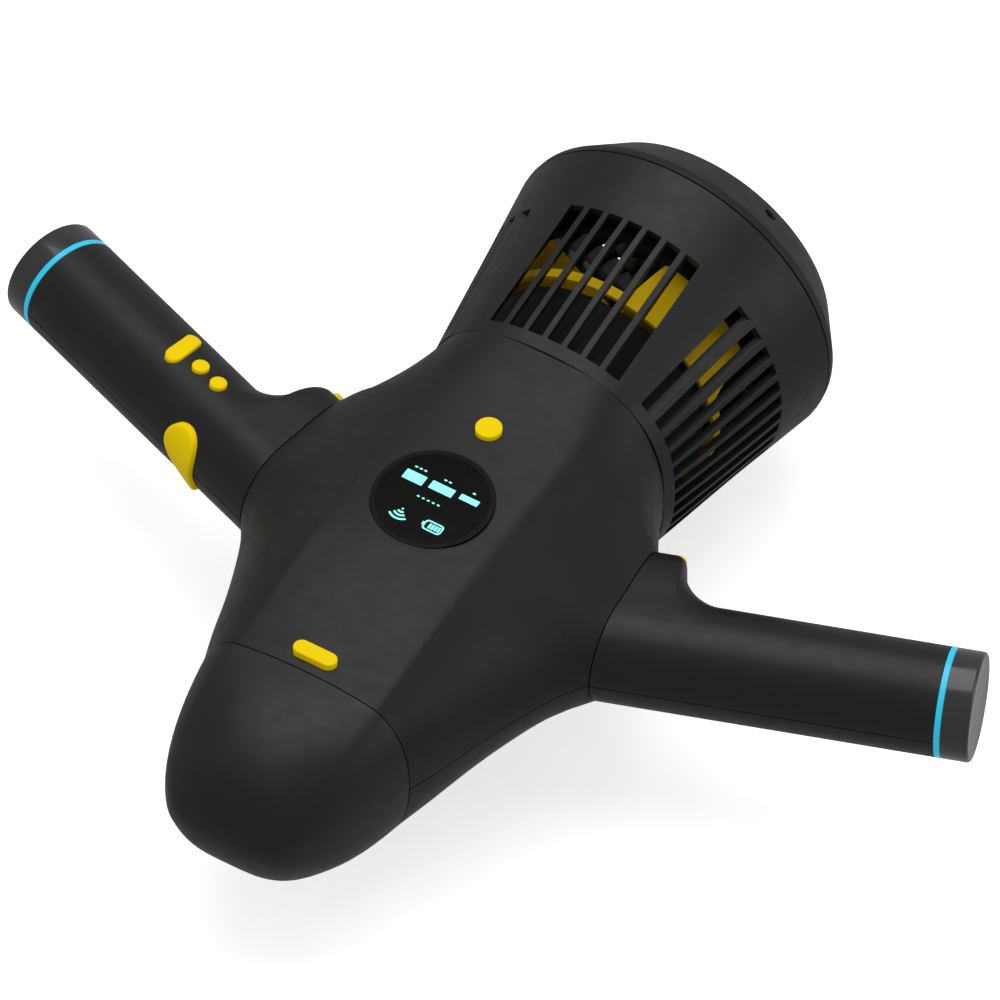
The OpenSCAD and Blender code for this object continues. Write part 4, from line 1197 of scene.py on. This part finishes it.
FINISHES = {
    "hull": finish("hull_satin", "1c1c1c", 0.45, gleam=0.32),
    "nose": finish("nose_satin", "1d1d1d", 0.45, gleam=0.36),
    "handle": finish("handle_satin", "1b1b1b", 0.42, gleam=0.36),
    "duct": finish("duct_satin", "1c1c1c", 0.46, gleam=0.36),
    "inner": finish("inner_plastic", "101010", 0.6, gleam=0.15, wear_amount=0.0),
    # The end caps' lighter base colour is painted reflection: it stands in for the bright sheen their
    # faces catch.
    "cap": finish("cap_gloss_painted_reflection", "303031", 0.22, grain=0.002, coat=0.4),
    "bezel": finish("bezel_gloss", "0a0a0b", 0.22, grain=0.002, wear_amount=0.0, gleam=0.1),
    "glass": finish("display_glass", "060607", 0.12, grain=0.0005, wear_amount=0.0, gleam=0.06),
    "glow": finish("display_glow", "8ff5ee", 0.35, glow=0.55, mottle=0.02, wear_amount=0.0, gleam=0.2),
    "panel": finish("display_panel_green", "0f3a3a", 0.5, grain=0.02),
    # The yellow buttons' faint glow is painted light: the buttons hold no lamp, and the glow only
    # brightens them beyond what the lamps give.
    "yellow": finish("yellow_button", "ffdb00", 0.42, grain=0.004, mottle=0.02, wear="ffe840",
                     wear_amount=0.15, glow=0.14, gleam=0.08),
    "yellow_blade": finish("yellow_propeller", "e8c000", 0.45, grain=0.006, mottle=0.06,
                           wear="ffe040", wear_amount=0.15, gleam=0.1),
    "ring": finish("ring_cyan", "2fc3e6", 0.30, glow=0.35, mottle=0.02, wear_amount=0.0),
    "steel": finish("steel", "b9babd", 0.24, 1.0, 0.003, 0.5, 0.05, "e8e8ea", 0.4, brushed=True),
    "alloy": finish("motor_alloy", "8f9196", 0.34, 1.0, 0.010, 1.0, 0.06, "d0d0d4", 0.4),
    "iron": finish("motor_iron", "4b4a4c", 0.5, 1.0, 0.015, 0.6, 0.12, "8a8a8c", 0.3),
    "copper": finish("windings", "b4622d", 0.3, 1.0, 0.05, 0.8, 0.10, "e09a60", 0.4),
    "gold": finish("contact_gold", "d9a93a", 0.22, 1.0, 0.002, 0.5, 0.05, "ffe0a0", 0.3),
    "brass": finish("bush_brass", "a98347", 0.32, 1.0, 0.006, 0.6, 0.08, "e0c080", 0.4),
    "rubber": finish("seal_rubber", "161616", 0.75, grain=0.02),
    "board": finish("circuit_green", "1c5a36", 0.4, grain=0.02, wear="7aa88a", wear_amount=0.2),
    "wrap": finish("cell_wrap", "2d6e56", 0.3, grain=0.004, wear_amount=0.15),
}

CARRIED = {
    "inner": ["front_bulkhead", "battery_sleeve", "power_switch", "left_socket", "right_socket",
              "battery_can", "shaft_fairing"],
    "alloy": ["motor_housing", "heat_sink", "motor_bulkhead", "left_spigot", "right_spigot"],
    "iron": ["motor_core", "motor_rotor"],
    "copper": ["motor_windings"],
    "steel": ["hull_screws", "duct_screws", "left_handle_screws", "right_handle_screws",
              "power_spring", "latch_spring", "front_bearing", "rear_bearing", "drive_shaft",
              "propeller_nut"],
    "gold": ["hull_contacts", "battery_terminals"],
    "brass": ["tail_bush"],
    "rubber": ["nose_seal", "shaft_seal"],
    "board": ["controller_board", "control_board"],
    "wrap": ["battery_cells"],
    "ring": ["left_light_ring", "right_light_ring"],
    "bezel": ["display_bezel"],
    "glass": ["display_lens"],
    "panel": ["display_panel"],
}


def dress_carried_nodes():
    for look, names in CARRIED.items():
        for name in names:
            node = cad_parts[name]
            node.data.materials.clear()
            node.data.materials.append(FINISHES[look])
            node.data.shade_smooth()
            bevel(node, 0.12 if look in ("gold", "board") else 0.3, 50)


# ---------------------------------------------------------------- building
BOSS_SIDE = [(38, -90, -25), (40, 47, -31), (60, -30, -15)]     # x, y and floor of each boss
GRIP_SCREWS = (32.0, 64.0)      # distance of each screw from the handle's end
SCREW_HOLE_R, BOSS_R = 3.0, 4.1


def build_hull():
    look = ("hull", "hull_plastic", FINISHES["hull"])
    upper = thicken(hull_skin("hull_upper", True, *look))
    helpers = [
        prism(disc(BEZEL_R + 0.15, 96), on_display, -14, 12),
        prism(disc(POWER_R + GAP), beside(0, POWER_Y), 38, 60),
        prism(pill(LATCH_LEN + 2 * GAP, LATCH_W + 2 * GAP), beside(0, LATCH_Y), 20, 50),
    ]
    for h in helpers:
        cut(upper, h)
    bevel(upper, 0.35)
    settle(upper, *helpers)
    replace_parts(upper, "body_upper_shell")

    lower = thicken(hull_skin("hull_lower", False, *look))
    helpers = []
    for sign in (-1, 1):
        for x, y, floor in BOSS_SIDE:
            helpers.append(prism(disc(SCREW_HOLE_R, 32), beside(sign * x, y), -60, floor + 6))
            cut(lower, helpers[-1])
    bevel(lower, 0.35)
    settle(lower, *helpers)
    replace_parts(lower, "body_lower_shell")

    for side, label in SIDES:
        plate(f"{label}_joint_wall", side, -WALL - SEAM, -SEAM, (14.9, 9.9), "hull",
              "hull_plastic", FINISHES["inner"])


def screw_tube(name, place, low, high, body):
    """Wall round a deep screw hole."""
    ring = [(SCREW_HOLE_R, low), (BOSS_R, low), (BOSS_R, high), (SCREW_HOLE_R, high)]
    verts, faces = lathe(ring, 32, lambda a, along, b: place(a, b, along))
    return new_object(name, verts, faces, body, "inner_plastic", FINISHES["inner"])


def build_bosses():
    for sign, label in SIDES:
        for i, (x, y, _) in enumerate(BOSS_SIDE):
            bottom = 1.0 - min(hull_bottom_at(x + dx, y) for dx in (-BOSS_R, 0, BOSS_R))
            screw_tube(f"{label}_hull_boss_{i + 1}", beside(sign * x, y), bottom, -6.2, "hull")


def hull_bottom_at(x, y):
    xs, zs = hull_row(y, False)
    return float(np.interp(x, xs, -zs))


def build_nose():
    nose = nose_skin("nose", "battery_module", "hull_plastic", FINISHES["nose"])
    thicken(nose)
    bevel(nose, 0.35, 50)
    settle(nose)
    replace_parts(nose, "nose_cap")


def build_handles():
    for side, label in SIDES:
        body = f"{label}_handle"
        for above, half in ((True, "upper"), (False, "lower")):
            shell = grip_skin(f"{label}_grip_{half}", side, above, body, "hull_plastic",
                              FINISHES["handle"])
            thicken(shell)
            outline = [(y, x) for x, y in pill(RELEASE_H + 2 * GAP, RELEASE_W + 2 * GAP)]
            helpers = [prism(outline, behind_root(side), ROOT_BACK - 9, ROOT_BACK + 5)]
            if side < 0:
                trigger_hole = offset(teardrop(), GAP)
                helpers.append(prism(trigger_hole, on_right_grip(TRIGGER_S, TRIGGER_PHI), 8, 32))
                if above:
                    holes = [(disc(SPEED_R + GAP), s, SPEED_PHI) for s in SPEED_S]
                    holes.append((offset(kidney(), GAP), MODE_S, MODE_PHI))
                    helpers += [prism(line, on_right_grip(s, phi), 10, 30) for line, s, phi in holes]
            if not above:
                helpers += [prism(disc(SCREW_HOLE_R, 32), along_grip(side, s), -30, -14)
                            for s in GRIP_SCREWS]
            for h in helpers:
                cut(shell, h)
            bevel(shell, 0.3)
            settle(shell, *helpers)
            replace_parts(shell, f"{label}_{half}_shell")
        plate(f"{label}_root_wall", side, SEAM, SEAM + WALL, (12.0, 7.0), body, "hull_plastic",
              FINISHES["inner"])
        for i, s in enumerate(GRIP_SCREWS):
            screw_tube(f"{label}_grip_boss_{i + 1}", along_grip(side, s), -19.6, -14, body)
        cap = end_cap(f"{label}_cap", side, body, "cap_plastic", FINISHES["cap"])
        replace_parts(cap, f"{label}_end_cap")


def build_duct():
    mat = FINISHES["duct"]
    shroud = duct_skin("duct", "hull", "duct_plastic", mat)
    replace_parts(shroud, "duct_shroud")
    duct_front_wall("duct_wall", "hull", "duct_plastic", FINISHES["inner"])
    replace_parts(nozzle("nozzle", "hull", "duct_plastic", mat), "nozzle_ring")
    blades = propeller("propeller_blades", "propulsor", "yellow_propeller", FINISHES["yellow_blade"])
    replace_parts(blades, "propeller")
    vanes = stator("stator", "hull", "inner_plastic", FINISHES["duct"])
    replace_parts(vanes, "stator_vanes")


def build_buttons():
    # This yellow finish glows a little: painted light that brightens the buttons.
    yellow = FINISHES["yellow"]

    def button(name, outline, place, foot, top, edge, dome, body, node):
        piece = keycap(name, outline, place, foot, top, edge, dome, body, "yellow_button", yellow)
        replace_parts(piece, node)

    button("power_cap", disc(POWER_R), beside(0, POWER_Y), POWER_Z - 3.8, flat(POWER_Z), 0.6, -0.15,
           "power_key", "power_button")
    button("latch_cap", pill(LATCH_LEN, LATCH_W), beside(0, LATCH_Y), LATCH_Z - 4.6, flat(LATCH_Z),
           0.6, 0.0, "nose_latch", "latch_button")
    for s, label in zip(SPEED_S, ("up", "down")):
        button(f"speed_{label}_cap", disc(SPEED_R), on_right_grip(s, SPEED_PHI), 17, flat(SPEED_TOP),
               0.7, 0.1, f"speed_{label}_key", f"speed_{label}_button")
    button("mode_cap", kidney(), on_right_grip(MODE_S, MODE_PHI), 15, grip_top(MODE_TOP), 0.6, 0.0,
           "mode_key", "mode_button")
    button("trigger_cap", teardrop(), on_right_grip(TRIGGER_S, TRIGGER_PHI), 12,
           grip_top(TRIGGER_TOP), 1.1, 0.0, "throttle_trigger", "trigger")
    upright = [(y, x) for x, y in pill(RELEASE_H, RELEASE_W)][::-1]
    for side, label in SIDES:
        button(f"{label}_release_cap", upright, behind_root(side), ROOT_BACK - 5,
               flat(ROOT_BACK + RELEASE_PROUD), 0.9, 0.0, f"{label}_release",
               f"{label}_release_button")


def mark(name, outline, hole=None):
    """Thin lit symbol on the display glass; a hole makes it an outline."""
    low, high = -0.06, -0.01
    n = len(outline)
    if hole is None:
        verts = [on_display(x, y, h) for h in (low, high) for x, y in outline]
        faces = [tuple(range(n))[::-1], tuple(range(n, 2 * n))]
        faces += [(j, (j + 1) % n, n + (j + 1) % n, n + j) for j in range(n)]
    else:
        verts = [on_display(x, y, h) for line in (outline, hole) for h in (low, high) for x, y in line]
        faces = tunnel_faces(n)
    return new_object(name, verts, faces, "hull", "display_glow", FINISHES["glow"])


def box_outline(x0, x1, y0, y1, r=0.25):
    return rounded([(x0, y0), (x1, y0), (x1, y1), (x0, y1)], r, 4)


def arc_band(cx, cy, r, width, middle, half):
    """Outline of a bent stroke about a point."""
    lines = []
    for radius in (r + width / 2, r - width / 2):
        arc = [polar(radius, middle + half * t) for t in np.linspace(-1, 1, 15)]
        lines.append([(cx + x, cy + y) for x, y in arc])
    return lines[0] + lines[1][::-1]


def build_display():
    speed_bars = [(-15.8, -7.1, 3.1, 7.8), (-4.6, 5.4, 3.9, 7.9), (8.0, 16.0, 5.2, 7.9)]
    for i, (x0, x1, y0, y1) in enumerate(speed_bars):
        mark(f"display_bar_{3 - i}", box_outline(x0, x1, y0, y1))
        count = 3 - i
        for k in range(count):
            x = (x0 + x1) / 2 + (k - (count - 1) / 2) * 2.0
            mark(f"display_tick_{3 - i}_{k + 1}", box_outline(x - 0.6, x + 0.6, 9.8, 10.5, 0.1))
    for k in range(5):
        x = -1.0 + (k - 2) * 2.2
        mark(f"display_dot_{k + 1}", box_outline(x - 0.55, x + 0.55, -1.9, -1.2, 0.2))
    mark("display_signal_dot", [(-7.1 + 0.45 * x, -9.7 + 0.45 * y) for x, y in disc(1, 16)])
    for i, r in enumerate((1.7, 3.3, 5.1)):
        mark(f"display_signal_{i + 1}", arc_band(-7.1, -9.7, r, 0.85, -90, 44))
    mark("display_battery", box_outline(3.3, 11.4, -14.0, -9.1, 1.7),
         box_outline(3.95, 10.75, -13.35, -9.75, 1.2))
    mark("display_battery_tip", box_outline(2.6, 3.25, -12.4, -10.7, 0.2))
    for k in range(4):
        x = 5.5 + k * 1.3
        mark(f"display_charge_{k + 1}", box_outline(x, x + 1.0, -12.8, -10.3, 0.15))


# ---------------------------------------------------------------- studio
VIEW_TURN, VIEW_TILT = math.radians(32.12), math.radians(49.05)
VIEW_FAR = 11000.0
VIEW_SHIFT = (-17.11, -20.56)
VIEW_CENTRE = (0.0, 59.0, 0.0)
VIEW_LENS = 1053.4
FLOOR_Z, FLOOR_HALF = -70.5, 3000


def studio():
    a, e = VIEW_TURN, VIEW_TILT
    right = Vector((math.cos(a), math.sin(a), 0))
    up = Vector((-math.sin(a) * math.sin(e), math.cos(a) * math.sin(e), math.cos(e)))
    back = Vector((math.sin(a) * math.cos(e), -math.cos(a) * math.cos(e), math.sin(e)))
    place = Vector(VIEW_CENTRE) + back * VIEW_FAR + right * VIEW_SHIFT[0] + up * VIEW_SHIFT[1]
    lens = bpy.data.cameras.new("camera")
    lens.lens = VIEW_LENS
    lens.sensor_width = 36
    lens.clip_start, lens.clip_end = 0.1, 40
    camera = bpy.data.objects.new("camera", lens)
    bpy.context.scene.collection.objects.link(camera)
    turn = Matrix((right, up, back)).transposed().to_4x4()
    camera.matrix_world = Matrix.Translation(place * MM) @ turn
    bpy.context.scene.camera = camera

    corners = [(x * FLOOR_HALF, y * FLOOR_HALF, FLOOR_Z) for x, y in ((-1, -1), (1, -1), (1, 1), (-1, 1))]
    paper = finish("floor_paper", "f8f8f8", 0.8, grain=0.004, mottle=0.01, wear_amount=0.0, glow=0.72)
    floor = new_object("floor", corners, [(0, 1, 2, 3)], None, material=paper)
    # The floor shows and takes the shadow, but does not light the object from below.
    floor.visible_diffuse = False
    floor.visible_glossy = False

    world = bpy.data.worlds.new("studio")
    world.use_nodes = True
    sky = world.node_tree.nodes["Background"]
    sky.inputs["Color"].default_value = (1, 1, 1, 1)
    sky.inputs["Strength"].default_value = 0.36
    bpy.context.scene.world = world
    bpy.context.scene.view_settings.view_transform = "Standard"

    def panel(name, place, aim, size, power):
        lamp = bpy.data.lights.new(name, "AREA")
        lamp.shape = "RECTANGLE"
        lamp.size, lamp.size_y = size
        lamp.energy = power
        obj = bpy.data.objects.new(name, lamp)
        bpy.context.scene.collection.objects.link(obj)
        obj.location = place
        obj.rotation_euler = (Vector(aim) - Vector(place)).to_track_quat("-Z", "Y").to_euler()

    panel("key", (-0.2, 0.3, 1.7), (0, 0, 0), (1.6, 1.6), 15)
    panel("side", (1.7, 0.9, 0.6), (0, 0, 0), (0.9, 1.2), 5)


dress_carried_nodes()
build_hull()
build_bosses()
build_nose()
build_handles()
build_duct()
build_buttons()
build_display()
studio()
